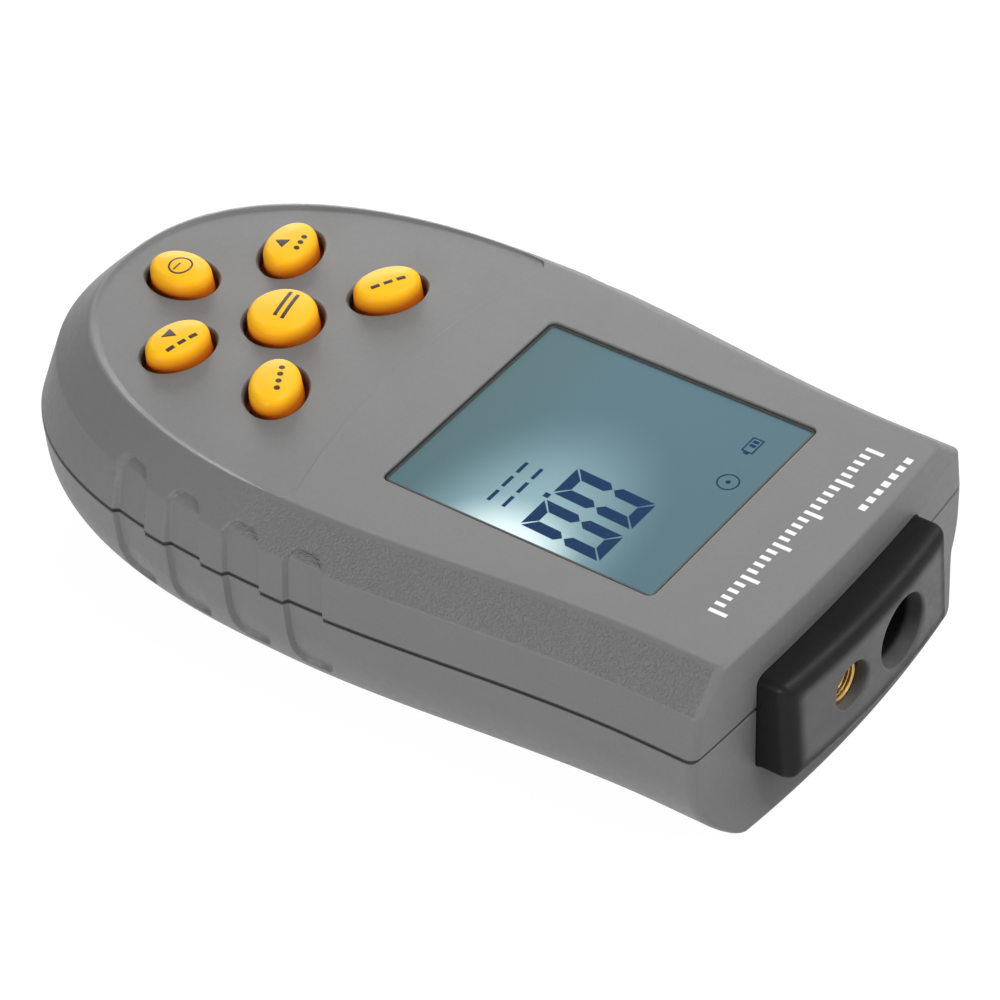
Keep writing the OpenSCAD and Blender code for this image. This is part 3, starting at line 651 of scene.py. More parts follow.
@dataclass(frozen=True)
class Ink:
    """Flat printed or dyed colour with a faint unevenness."""

    name: str
    colour: Colour
    roughness: float = 0.6
    gloss: float = 0.3
    uneven: float = 0.12
    blob_mm: float = 0.5

    def material(self) -> Material:
        """Makes the material: the colour times a soft noise."""
        g = Graph(bpy.data.materials.new(self.name))
        colour = g.scaled(self.colour[:3], g.cloud(self.blob_mm, 1.0 - self.uneven, 1.0, 3.0))
        return g.finish(Base_Color=colour, Roughness=self.roughness, Specular_IOR_Level=self.gloss)


@dataclass(frozen=True)
class LitCrystal:
    """Backlit liquid crystal: teal, with a lamp that glows near one long edge."""

    teal: Colour = (0.062, 0.145, 0.182, 1.0)
    green: Colour = (0.058, 0.132, 0.148, 1.0)
    mist: Colour = (0.262, 0.430, 0.478, 1.0)
    glow: Colour = (0.840, 1.000, 1.000, 1.0)
    lamp_mm: Pair = (20.2, 21.6)
    glow_stretch: float = 0.8
    mist_stretch: float = 1.65
    glow_reach_mm: Pair = (1.0, 9.5)
    mist_reach_mm: Pair = (4.0, 30.0)
    green_y_mm: Pair = (2.0, 18.0)
    own_light: float = 0.93

    def away(self, g: Graph, spot: bpy.types.Node, stretch: float) -> Socket:
        """Distance from the lamp, with the part along Y taken stretch times."""
        dx = g.math("SUBTRACT", spot.outputs["X"], self.lamp_mm[0] * MM)
        dy = g.math("SUBTRACT", spot.outputs["Y"], self.lamp_mm[1] * MM)
        return g.length(dx, g.times(dy, stretch))

    def material(self) -> Material:
        """Makes the material: most of the light is the crystal's own, the rest is reflected."""
        g = Graph(bpy.data.materials.new("lit_crystal"))
        spot = g.place()
        near, far = (self.away(g, spot, stretch) for stretch in (self.glow_stretch, self.mist_stretch))
        base = g.blend(g.ramp_mm(spot.outputs["Y"], *self.green_y_mm), self.green, self.teal)
        misty = g.blend(g.ramp_mm(far, *self.mist_reach_mm, down=True), base, self.mist)
        colour = g.blend(g.ramp_mm(near, *self.glow_reach_mm, down=True), misty, self.glow)
        colour = g.scaled(colour, g.cloud(0.2, 0.985, 1.015, 1.0))
        return g.finish(
            Base_Color=g.blend(self.own_light, colour, grey(0.0)),
            Emission_Color=colour,
            Emission_Strength=1.0,
            Roughness=0.3,
            Specular_IOR_Level=0.1,
        )


@dataclass(frozen=True)
class ClearSheet:
    """Clear moulded window or glass, a little glossy and faintly tinted."""

    name: str
    tint: Colour
    cover: float
    gloss: float = 0.5
    roughness: float = 0.06

    def material(self) -> Material:
        """Makes the material: mostly see-through, with a gloss and a faint ripple."""
        g = Graph(bpy.data.materials.new(self.name))
        return g.finish(
            Base_Color=self.tint,
            Alpha=self.cover,
            Roughness=g.cloud(3.0, self.roughness * 0.8, self.roughness * 1.2),
            Normal=g.bump(g.noise(6.0, detail=1.0), 0.004),
            Specular_IOR_Level=self.gloss,
        )


@dataclass(frozen=True)
class TurnedMetal:
    """Metal with turning marks round the Y axis through a point."""

    name: str
    colour: Colour
    axis_x_mm: float
    axis_z_mm: float
    pitch_mm: float = 0.18
    roughness: float = 0.28

    def material(self) -> Material:
        """Makes the material: fine waves along Y and by the distance from the axis."""
        g = Graph(bpy.data.materials.new(self.name))
        spot = g.place()
        dx = g.math("SUBTRACT", spot.outputs["X"], self.axis_x_mm * MM)
        dz = g.math("SUBTRACT", spot.outputs["Z"], self.axis_z_mm * MM)
        along = g.math("ADD", g.length(dx, dz), spot.outputs["Y"])
        phase = g.times(along, 2 * math.pi / (self.pitch_mm * MM))
        marks = g.bump(g.ramp(g.math("SINE", phase), -1.0, 1.0), 0.004)
        colour = g.scaled(self.colour[:3], g.cloud(1.2, 0.85, 1.0, 3.0))
        return g.finish(Base_Color=colour, Metallic=1.0, Roughness=self.roughness, Normal=marks)


@dataclass(frozen=True)
class Moulded:
    """Plain moulded, cast or sprayed finish for the pieces inside: a colour, a skin and a bump."""

    name: str
    colour: Colour
    roughness: float = 0.5
    metallic: float = 0.0
    skin_mm: float = 0.4
    skin_depth_mm: float = 0.01
    uneven: float = 0.1

    def material(self) -> Material:
        """Makes the material: the colour times a noise, with a fine bump."""
        g = Graph(bpy.data.materials.new(self.name))
        return g.finish(
            Base_Color=g.scaled(self.colour[:3], g.cloud(self.skin_mm * 8, 1.0 - self.uneven, 1.0, 3.0)),
            Metallic=self.metallic,
            Roughness=g.cloud(self.skin_mm * 3, self.roughness * 0.9, self.roughness * 1.1),
            Normal=g.bump(g.noise(self.skin_mm), self.skin_depth_mm),
        )


@dataclass(frozen=True)
class Striped:
    """Finish of two colours in straight stripes along one axis, such as a layered rubber or tracks."""

    name: str
    first: Colour
    second: Colour
    pitch_mm: float
    share: float = 0.5
    roughness: float = 0.45

    def material(self) -> Material:
        """Makes the material: a sine along X, bent a little by noise, picks the colour."""
        g = Graph(bpy.data.materials.new(self.name))
        pitch = self.pitch_mm * MM
        across = g.math("ADD", g.place().outputs["X"], g.cloud(9.0, 0.0, pitch, 1.0))
        wave = g.math("SINE", g.times(across, 2 * math.pi / pitch))
        edge = 1.0 - 2.0 * self.share
        stripe = g.ramp(wave, edge - 0.15, edge + 0.15)
        colour = g.blend(stripe, self.first, self.second)
        return g.finish(Base_Color=colour, Roughness=self.roughness, Normal=g.bump(stripe, 0.02))


@dataclass
class Case:
    """The two shells of the case, their flutes, and everything cut into them."""

    front_w: float = 59.7
    grip_w: float = 68.2
    grip_from_end: float = 57.0
    flare_len: float = 58.0
    end_power: float = 2.65
    foot_power: float = 2.25
    bevel_h: float = 5.0
    bevel_w: float = 5.1
    draft: float = 1.1
    seam_gap: float = 0.6
    seam_close: float = 0.13
    wall: float = 2.5
    top_wall: float = 2.5
    floor_t: float = 2.6
    tongue_t: float = 0.85
    tongue_clear: float = 0.1
    tongue_h: float = 1.9
    edge_h: float = 13.0
    edge_in: float = 7.0
    face_r: float = 350.0
    chin_r: float = 170.0
    corner_r: float = 1.4
    face_lean: float = 1.15
    chin_h: float = 7.0
    chin_out: float = 2.15
    chin_power: float = 1.5
    block_out: float = 5.25
    seam_round: float = 0.15
    foot_round: float = 0.5
    top_round: float = 1.0
    front_round: float = 0.4
    back_round: float = 1.2
    row_step: float = 0.3
    flute_count: int = 4
    flute_w: float = 6.5
    flute_pitch: float = 10.35
    flute_depth: float = 0.75
    flute_from_end: float = 32.8
    flute_top: float = 26.0
    flute_foot: float = 6.0
    flute_corner_r: float = 2.0
    flute_arch_r: float = 2.6
    flute_soft: float = 0.6
    flute_crisp: float = 0.34
    flute_run_out: float = 1.6
    flute_turn: float = 0.6
    window_r: float = 1.1
    window_edge: float = 0.22
    lens_gap: float = 0.2
    pad_drop: float = 0.28
    pad_half: float = 28.7
    pad_tail: float = 50.2
    pad_power: float = 2.15
    pad_sag: float = 4.0
    pad_corner_x: float = 26.3
    pad_top_y: float = -7.2
    pad_soft: float = 1.1
    pad_crisp: float = 0.25
    pad_corner_r: float = 1.6
    pad_fade: Pair = (9.0, 7.0)
    block_clear: float = 0.15
    boss_r: float = 3.8
    shank_r: float = 1.35
    head_r: float = 2.6
    seat_z: float = 9.0
    rear_boss: Pair = (23.25, -11.0)
    front_boss: Pair = (20.5, 49.4)
    post_r: float = 1.9
    post_x: float = 21.65
    bay_half: float = 13.65
    bay_wall: float = 1.3
    bay_h: float = 14.1
    bay_end: float = 1.2
    bay_gap: float = 0.4
    stand_z: float = 1.8
    boss_top: float = 17.6
    shank_len: float = 14.0
    shank_clear: float = 0.15
    post_share: float = 0.4
    post_bore: Pair = (0.95, 3.1)
    seam_land: float = 0.6
    face_land: float = 1.2
    back_land: float = 1.6
    fluted_side: float = 12.5
    fluted_tail: float = 29.5
    door_gap: float = 0.25
    door_round: float = 0.25
    rail_w: float = 1.0
    rail_z: Pair = (0.95, 1.75)
    slot_w: float = 1.4
    slot_z: Pair = (0.8, 1.9)
    thumb_from_end: float = 14.4
    thumb_pitch: float = 2.0
    thumb_count: int = 5

    def __post_init__(self) -> None:
        """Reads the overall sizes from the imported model."""
        top_low, top_high = corners("top_shell")
        self.upper_z0 = top_low[2] - self.seam_close
        self.lower_z1 = self.upper_z0 - self.seam_gap + 2 * self.seam_close
        self.tongue_z1 = self.upper_z0 - self.seam_gap / 2 + self.tongue_h
        self.case_h = top_high[2]
        self.foot_z = self.case_h - self.bevel_h
        self.ceiling_z = self.case_h - self.top_wall
        self.end_y = corners("bottom_shell")[0][1]
        self.wide_y = self.end_y + self.grip_from_end
        self.flare_y = self.wide_y + self.flare_len
        self.face_y = corners("sensor_block")[1][1] - self.block_out
        self.edge_r = (self.edge_h**2 + self.edge_in**2) / (2 * self.edge_in)
        self.bosses = [self.rear_boss, self.front_boss]
        self.fine = self.stations(True)
        self.coarse = self.stations(False)

    def stations(self, fine: bool) -> dict[str, Array]:
        """Shares along the four stretches of the half outline.

        The long side and the part of the handle that carries flutes are divided closely when
        fine is set, so that the flutes' walls have rows of their own.

        Args:
            fine: True for the outer faces, False for the plain inner ones.

        Returns:
            Arrays of shares: front, corner, side and end.
        """
        if not fine:
            return {
                "front": np.linspace(0, 1, 6),
                "corner": np.linspace(0, 1, 4)[1:] * math.pi / 2,
                "side": np.linspace(0, 1, 13)[1:],
                "end": np.linspace(0, 1, 18)[1:] * math.pi / 2,
            }
        side_len = self.face_y - self.corner_r - self.wide_y
        plain = (side_len - self.fluted_side) / side_len
        fluted_end = self.fluted_tail / (self.grip_from_end - self.draft)
        turn = np.arcsin(np.linspace(0, fluted_end, 118)[1:] ** (self.end_power / 2))
        return {
            "front": np.linspace(0, 1, 15),
            "corner": np.linspace(0, 1, 8)[1:] * math.pi / 2,
            "side": np.concatenate([np.linspace(0, plain, 24)[1:], np.linspace(plain, 1, 51)[1:]]),
            "end": np.concatenate([turn, np.linspace(turn[-1], math.pi / 2, 52)[1:]]),
        }

    def side_x(self, y: Array) -> Array:
        """Half width at the foot of the bevel: eased from the front width to the grip width."""
        share = ease((self.flare_y - y) / (self.flare_y - self.wide_y))
        return mix(self.front_w, self.grip_w, share) / 2

    def edge_inset(self, z: Array) -> Array:
        """Inset of the lower wall: radius minus the circle's half chord below edge_h, else none."""
        drop = np.clip(self.edge_h - z, 0.0, None)
        return sagitta(self.edge_r, drop)

    def chin_share(self, z: Array) -> Array:
        """How far the chin has flared: (1 - z / chin_h) to the power chin_power below chin_h."""
        return np.clip(1.0 - z / self.chin_h, 0.0, None) ** self.chin_power

    def face_mid(self, z: Array) -> Array:
        """Station of the sensor end on the centre line: leans in downwards, then the chin flares."""
        lean = np.clip((z - self.chin_h) / (self.foot_z - self.chin_h), 0.0, 1.0)
        flare = (self.chin_out + self.face_lean) * self.chin_share(z)
        return self.face_y - self.face_lean * (1.0 - lean) + flare

    def face_bow(self, z: Array) -> Array:
        """Radius of the sensor end's bow in plan: the curvature is mixed towards the chin's."""
        return 1.0 / mix(1.0 / self.face_r, 1.0 / self.chin_r, self.chin_share(z))

    def end_n(self, z: Array) -> Array:
        """Power of the handle end: one value below the seam, another above the foot of the bevel."""
        rise = np.clip((z - self.upper_z0) / (self.foot_z - self.upper_z0), 0, 1)
        return mix(self.end_power, self.foot_power, rise)

    def outline(self, inset: Array, z: Array, mid: Array, stations: dict[str, Array]) -> Array:
        """Closed plan outlines of the case, one for each row.

        The half outline is a bowed front, a corner arc, a side that flares by side_x and a
        handle end |x/a|^n + |y/b|^n = 1. The other half is its mirror image.

        Args:
            inset: distance inwards from the foot of the bevel, one for each row.
            z: height that sets the sensor end's bow and the handle end's power.
            mid: station of the sensor end on the centre line.
            stations: shares along the four stretches.

        Returns:
            Array of rows, points and two coordinates, clockwise from the middle of the front.
        """
        inset, z, mid = (np.asarray(a, float).reshape(-1, 1) for a in (inset, z, mid))
        bow, power = self.face_bow(z), 2.0 / self.end_n(z)
        half_front = self.front_w / 2 - inset
        half_grip = self.grip_w / 2 - inset
        tail = self.grip_from_end - self.draft - inset
        corner_x = half_front - self.corner_r
        corner_y = mid - sagitta(bow, corner_x) - self.corner_r
        front_x = corner_x * stations["front"]
        front_y = mid - sagitta(bow, front_x)
        turn = stations["corner"]
        side_y = mix(corner_y, self.wide_y, stations["side"])
        end = stations["end"]
        rows = [
            (front_x, front_y),
            (corner_x + self.corner_r * np.sin(turn), corner_y + self.corner_r * np.cos(turn)),
            (self.side_x(side_y) - inset, side_y),
            (half_grip * np.clip(np.cos(end), 0, 1) ** power, self.wide_y - tail * np.sin(end) ** power),
        ]
        x, y = (np.concatenate([row[i] for row in rows], axis=1) for i in (0, 1))
        half = np.stack([x, y], axis=-1)
        return np.concatenate([half, half[:, -2:0:-1] * np.array([-1.0, 1.0])], axis=1)

    def flute_inset(self, y: Array, z: Array) -> Array:
        """Depth of the flutes at a place on the wall.

        A flute is a slot with rounded corners, wider at the top than at the foot. The depth is eased
        over the distance into the slot, slowly on the handle side and quickly on the sensor side.

        Args:
            y: stations of the points.
            z: their heights.

        Returns:
            The depth at each point.
        """
        half = self.flute_w / 2
        first = self.end_y + self.flute_from_end
        nearest = np.clip(np.round((y - first) / self.flute_pitch), 0, self.flute_count - 1)
        across = y - first - nearest * self.flute_pitch
        inside = np.inf
        top = (self.flute_arch_r, z - self.flute_top)
        foot = (self.flute_corner_r, (self.flute_foot - z) / self.flute_run_out)
        for corner, over in (top, foot):
            out = np.stack([np.abs(across) - (half - corner), over + corner])
            rounded = np.hypot(*np.clip(out, 0.0, None)) + np.minimum(out.max(axis=0), 0.0)
            inside = np.minimum(inside, corner - rounded)
        side = ease((across / half + self.flute_turn) / (2 * self.flute_turn))
        soft = mix(self.flute_soft, self.flute_crisp, side)
        return self.flute_depth * ease(inside / soft)

    def skin(self, path: Array, round_z: Pair, rounds: Pair) -> Shape:
        """Outer surface over a profile of insets and heights.

        Args:
            path: points of inset and height, from one end of the surface to the other.
            round_z: heights of the lower and upper edge along the sensor end.
            rounds: radii of those two edges.

        Returns:
            The points and faces of the closed surface.
        """
        inset, z = path[:, 0], path[:, 1]
        lead_in = np.clip(rounds[0] - (z - round_z[0]), 0.0, rounds[0])
        lead_out = np.clip(rounds[1] - (round_z[1] - z), 0.0, rounds[1])
        mid = self.face_mid(z)
        for radius, lead in zip(rounds, (lead_in, lead_out)):
            mid = mid - sagitta(radius, lead)
        flat = np.cumsum(np.concatenate([[0.0], np.where(np.abs(np.diff(z)) < 1e-6, np.diff(inset), 0.0)]))
        mid = mid - np.where(flat > 0, flat, 0.0)
        ring = self.outline(inset, z, mid, self.fine)
        depth = self.flute_inset(ring[..., 1], np.broadcast_to(z[:, None], ring.shape[:2]))
        on_side = ring[..., 1] < self.flare_y
        ring = ring - outward(ring) * (depth * on_side)[..., None]
        return loft(at_heights(ring, z))

    def inner(self, insets: list[float], heights: list[float], face_at: list[float]) -> Shape:
        """Space inside a shell: rows of the plain outline, a wall further in.

        Args:
            insets: inset of the outer surface at each row.
            heights: height of each row.
            face_at: height at which the sensor end's place is taken for each row.

        Returns:
            The points and faces of the closed surface.
        """
        at = np.array(face_at)
        ring = self.outline(np.array(insets) + self.wall, at, self.face_mid(at) - self.wall, self.coarse)
        return loft(at_heights(ring, np.array(heights)))

    def seam_band(self, outer: float, inner: float, z0: float, z1: float) -> Thing:
        """Upright band that follows the seam between two insets.

        Args:
            outer: inset of its outer side from the wall.
            inner: inset of its inner side.
            z0: height of its foot.
            z1: height of its top.

        Returns:
            The band, a tool for either shell.
        """
        at = np.array((self.upper_z0 + self.lower_z1) / 2)
        flats = [
            self.outline([inset - self.draft], at, self.face_mid(at) - inset, self.coarse)[0]
            for inset in (outer, inner)
        ]
        band, core = tools(*(prism(flat, z0, z1) for flat in flats))
        work(band, (Step.CUT, [core]))
        return band

    def pad_outline(self) -> Array:
        """Outline of the shallow recess round the keys, anticlockwise.

        The upper edge is an arc that sags, the corners are small arcs, and the rest is a
        handle end |x/a|^n + |y/b|^n = 1 of its own.
        """
        radius = (self.pad_corner_x**2 + self.pad_sag**2) / (2 * self.pad_sag)
        reach = math.asin(self.pad_corner_x / radius)
        swing = np.linspace(reach, -reach, 60)
        middle_y = self.pad_top_y - self.pad_sag + radius
        upper = np.stack([radius * np.sin(swing), middle_y - radius * np.cos(swing)], axis=-1)
        end = np.linspace(0.04, math.pi / 2, 90)
        power = 2.0 / self.pad_power
        x = self.pad_half * np.clip(np.cos(end), 0, 1) ** power
        right = np.stack([x, self.wide_y - self.pad_tail * np.sin(end) ** power], axis=-1)
        left = right[-2::-1] * np.array([-1.0, 1.0])
        lower = np.concatenate([right, left])
        knots = np.array([upper[0], [self.pad_half - 0.1, self.pad_top_y - 0.1], lower[0]])
        bend = round_corner(*knots, self.pad_corner_r, 6)
        mirrored_bend = bend[::-1] * np.array([-1.0, 1.0])
        return np.concatenate([bend, lower, mirrored_bend, upper[::-1][1:-1]])[::-1]

    def pad_cutter(self) -> Shape:
        """Tool for the recess: a floor, a wall that leans outwards, softer round the handle."""
        ring = self.pad_outline()
        normal = -outward(ring)
        start, length = self.pad_fade
        share = ease((ring[:, 1] - (self.pad_top_y - start)) / length)
        soft = mix(self.pad_soft, self.pad_crisp, share)
        shares = np.array([-0.5, -0.35, -0.18, 0.0, 0.18, 0.35, 0.5, 0.9])
        lifts = np.array([0.0, 0.04, 0.17, 0.5, 0.83, 0.96, 1.02, 1.6])
        plan = ring + normal * (soft * shares[:, None])[..., None]
        z = self.case_h - self.pad_drop + self.pad_drop * lifts
        return loft(at_heights(plan, z))

    def window_cutter(self) -> Shape:
        """Tool for the display opening, with a small rounded edge at the top face."""
        low, high = corners("display_lens")
        size = high - low + 2 * self.lens_gap
        edge, top = self.window_edge, self.case_h
        turn = quarter_turn(5)
        grow = np.concatenate([[0.0], edge * (1 - np.cos(turn)), [edge + 0.05]])
        z = np.concatenate([[self.ceiling_z - 1.0], top - edge * (1 - np.sin(turn)), [top + 2.0]])
        z[-2] += 0.01
        rings = [round_rectangle(size[0] + 2 * g, size[1] + 2 * g, self.window_r + g) for g in grow]
        return loft(at_heights(np.stack(rings) + (low + high)[:2] / 2, z))

    def block_cutter(self) -> Shape:
        """Tool for the opening that holds the sensor block."""
        low, high = corners("sensor_block")
        width, _, height = high - low - 2 * BLOCK_FLANGE + 2 * self.block_clear
        ring = round_rectangle(width, height, BLOCK_CORNER_R + self.block_clear)
        return stand_up(prism(ring, low[1] - PAST, high[1] + PAST), (low[2] + high[2]) / 2)

    def upper_path(self) -> Array:
        """Profile of the upper shell: seam edge, leaning wall, bevel, top face."""
        knots = [
            (self.seam_land - self.draft, self.upper_z0),
            (-self.draft, self.upper_z0),
            (0.0, self.foot_z),
            (self.bevel_w, self.case_h),
            (self.bevel_w + self.face_land, self.case_h),
        ]
        return rounded_path(knots, [self.seam_round, self.foot_round, self.top_round], self.row_step)

    def lower_path(self) -> Array:
        """Profile of the lower shell: seam edge, wall, rounded lower edge, back."""
        arc_z = np.linspace(self.edge_h, 1.0, 34)
        wall = [(-self.draft, self.lower_z1), *zip(self.edge_inset(arc_z) - self.draft, arc_z)]
        last = (float(self.edge_inset(np.array(0.0))) - self.draft, 0.0)
        seam = (self.seam_land - self.draft, self.lower_z1)
        start = rounded_path([seam, wall[0], wall[1]], [self.seam_round], self.row_step)
        back = (last[0] + self.back_land, 0.0)
        end = rounded_path([wall[-1], last, back], [self.back_round], self.row_step)
        return np.concatenate([start, np.array(wall[2:-1]), end])

    def lower_skin(self) -> Shape:
        """Outer surface of the lower half, for the lower shell and for the door cut out of it."""
        rounds = (self.back_round, self.seam_round)
        return self.skin(self.lower_path()[::-1], (0.0, self.lower_z1), rounds)

    def pillars(self, z0: float, z1: float, radius: float, places: list[Pair]) -> list[Thing]:
        """Round bodies at places on both sides."""
        return tools(*(prism(circle(side * x, y, radius), z0, z1) for x, y in places for side in (1, -1)))

    def build_top(self, wells: list[Shape]) -> Thing:
        """Upper shell with its window, key wells, recess, bosses and seam rebate.

        Args:
            wells: tools for the key wells.

        Returns:
            The finished piece.
        """
        seam, foot, ceiling = self.upper_z0, self.foot_z, self.ceiling_z
        rounds = (self.seam_round, self.front_round)
        shell = make_thing("upper_case", self.skin(self.upper_path(), (seam, self.case_h), rounds))
        insets = [-self.draft, -self.draft, 0.0, self.bevel_w * (ceiling - foot) / self.bevel_h]
        space = self.inner(insets, [seam - PAST, seam, foot, ceiling], [seam, seam, foot, ceiling])
        lens_low, lens_high = corners("display_lens")
        middle = (lens_low[1] + lens_high[1]) / 2
        reach = (lens_high[1] - lens_low[1] + 2 * self.lens_gap) * self.post_share
        posts = [(self.post_x, middle - reach), (self.post_x, middle + reach)]
        bore_r, bore_h = self.post_bore
        board = corners("lcd_frame")[0][2]
        groove_in = self.wall - self.tongue_t - self.tongue_clear
        rebate = self.seam_band(groove_in, self.wall + LAP, seam - PAST, self.tongue_z1)
        work(
            shell,
            (Step.CUT, tools(space)),
            (Step.JOIN, self.pillars(seam, ceiling + LAP, self.boss_r, self.bosses)),
            (Step.JOIN, self.pillars(board, ceiling + LAP, self.post_r, posts)),
            (Step.CUT, self.pillars(seam - 1.0, self.seat_z + self.shank_len, self.shank_r, self.bosses)),
            (Step.CUT, self.pillars(board - 1.0, board + bore_h, bore_r, posts)),
            (Step.CUT, [rebate]),
            (Step.CUT, tools(self.pad_cutter(), self.window_cutter(), *wells, self.block_cutter())),
        )
        return settle(shell)

    def build_bottom(self) -> Thing:
        """Lower shell with its tongue, screw wells, battery bay and door opening."""
        shell = make_thing("lower_case", self.lower_skin())
        heights = [self.floor_t, *np.linspace(self.floor_t, self.edge_h, 9)[1:], self.lower_z1 + PAST]
        insets = [float(self.edge_inset(np.array(z))) - self.draft for z in heights]
        space = self.inner(insets, heights, [min(z, self.lower_z1) for z in heights])
        tongue = self.seam_band(self.wall - self.tongue_t, self.wall, self.lower_z1 - LAP, self.tongue_z1)
        door_low, door_high = corners("battery_door")
        y0, y1 = corners("battery")[0][1] - self.bay_wall, door_high[1] + self.bay_gap
        y2, near, far = y1 + self.bay_end, self.bay_half, self.bay_half + self.bay_wall
        spans = ((near, y0, far), (-far, y0, -near), (-near - LAP, y1, near + LAP))
        walls = [box_body((x0, y, self.stand_z), (x1, y2, self.bay_h)) for x0, y, x1 in spans]
        start, end = self.end_y - PAST, door_high[1] + self.door_gap
        half = (door_high[0] - door_low[0]) / 2 - self.rail_w
        doorway = box_body((-half - self.door_gap, start, -PAST), (half + self.door_gap, end, self.floor_t))
        slot_low, slot_high = self.slot_z
        slots = box_body((-half - self.slot_w, start, slot_low), (half + self.slot_w, end, slot_high))
        hole_r = self.shank_r + self.shank_clear
        work(
            shell,
            (Step.CUT, tools(space)),
            (Step.JOIN, [tongue, *self.pillars(self.stand_z, self.boss_top, self.boss_r, self.bosses)]),
            (Step.JOIN, tools(*walls)),
            (Step.CUT, self.pillars(-PAST, self.seat_z, self.head_r, self.bosses)),
            (Step.CUT, self.pillars(-PAST, self.boss_top + PAST, hole_r, self.bosses)),
            (Step.CUT, tools(doorway, slots, self.block_cutter())),
        )
        return settle(shell)

    def build_door(self) -> Thing:
        """Sliding battery door: a slice of the back with rails and a thumb grip."""
        low, high = corners("battery_door")
        door = make_thing("battery_hatch", self.lower_skin())
        start = self.end_y - PAST
        half = (high[0] - low[0]) / 2 - self.rail_w
        (plate,) = tools(box_body((-half, start, -1.0), (half, high[1], high[2])))
        bevel = plate.modifiers.new("edge", "BEVEL")
        bevel.width, bevel.segments = self.door_round * MM, 3
        bake(plate)
        rail_low, rail_high = self.rail_z
        rails = box_body((low[0], start, rail_low), (high[0], high[1], rail_high))
        work(plate, (Step.JOIN, tools(rails)))
        first = self.end_y + self.thumb_from_end
        grooves = [self.thumb_groove(first + self.thumb_pitch * i) for i in range(self.thumb_count)]
        work(door, (Step.KEEP, [plate]), (Step.CUT, tools(*grooves)))
        return settle(door)

    def thumb_groove(self, y: float) -> Shape:
        """Tool for one thumb groove: a half-round trough across the door at station y."""
        turn = full_turn(24)
        x = np.array([-7.0, -6.7, 6.7, 7.0])[:, None]
        width = np.array([0.25, 0.45, 0.45, 0.25])[:, None]
        along, up = y + width * np.cos(turn), width * 1.05 * np.sin(turn)
        return loft(np.stack([np.broadcast_to(x, up.shape), along, up], axis=-1))


class Mark(Enum):
    """Plain printed marks that the keys carry in place of words."""

    BARS = "bars"
    DOTS = "dots"
    POINTER_BARS = "pointer_bars"
    POINTER_DOTS = "pointer_dots"
    POWER = "power"
    TWIN = "twin"


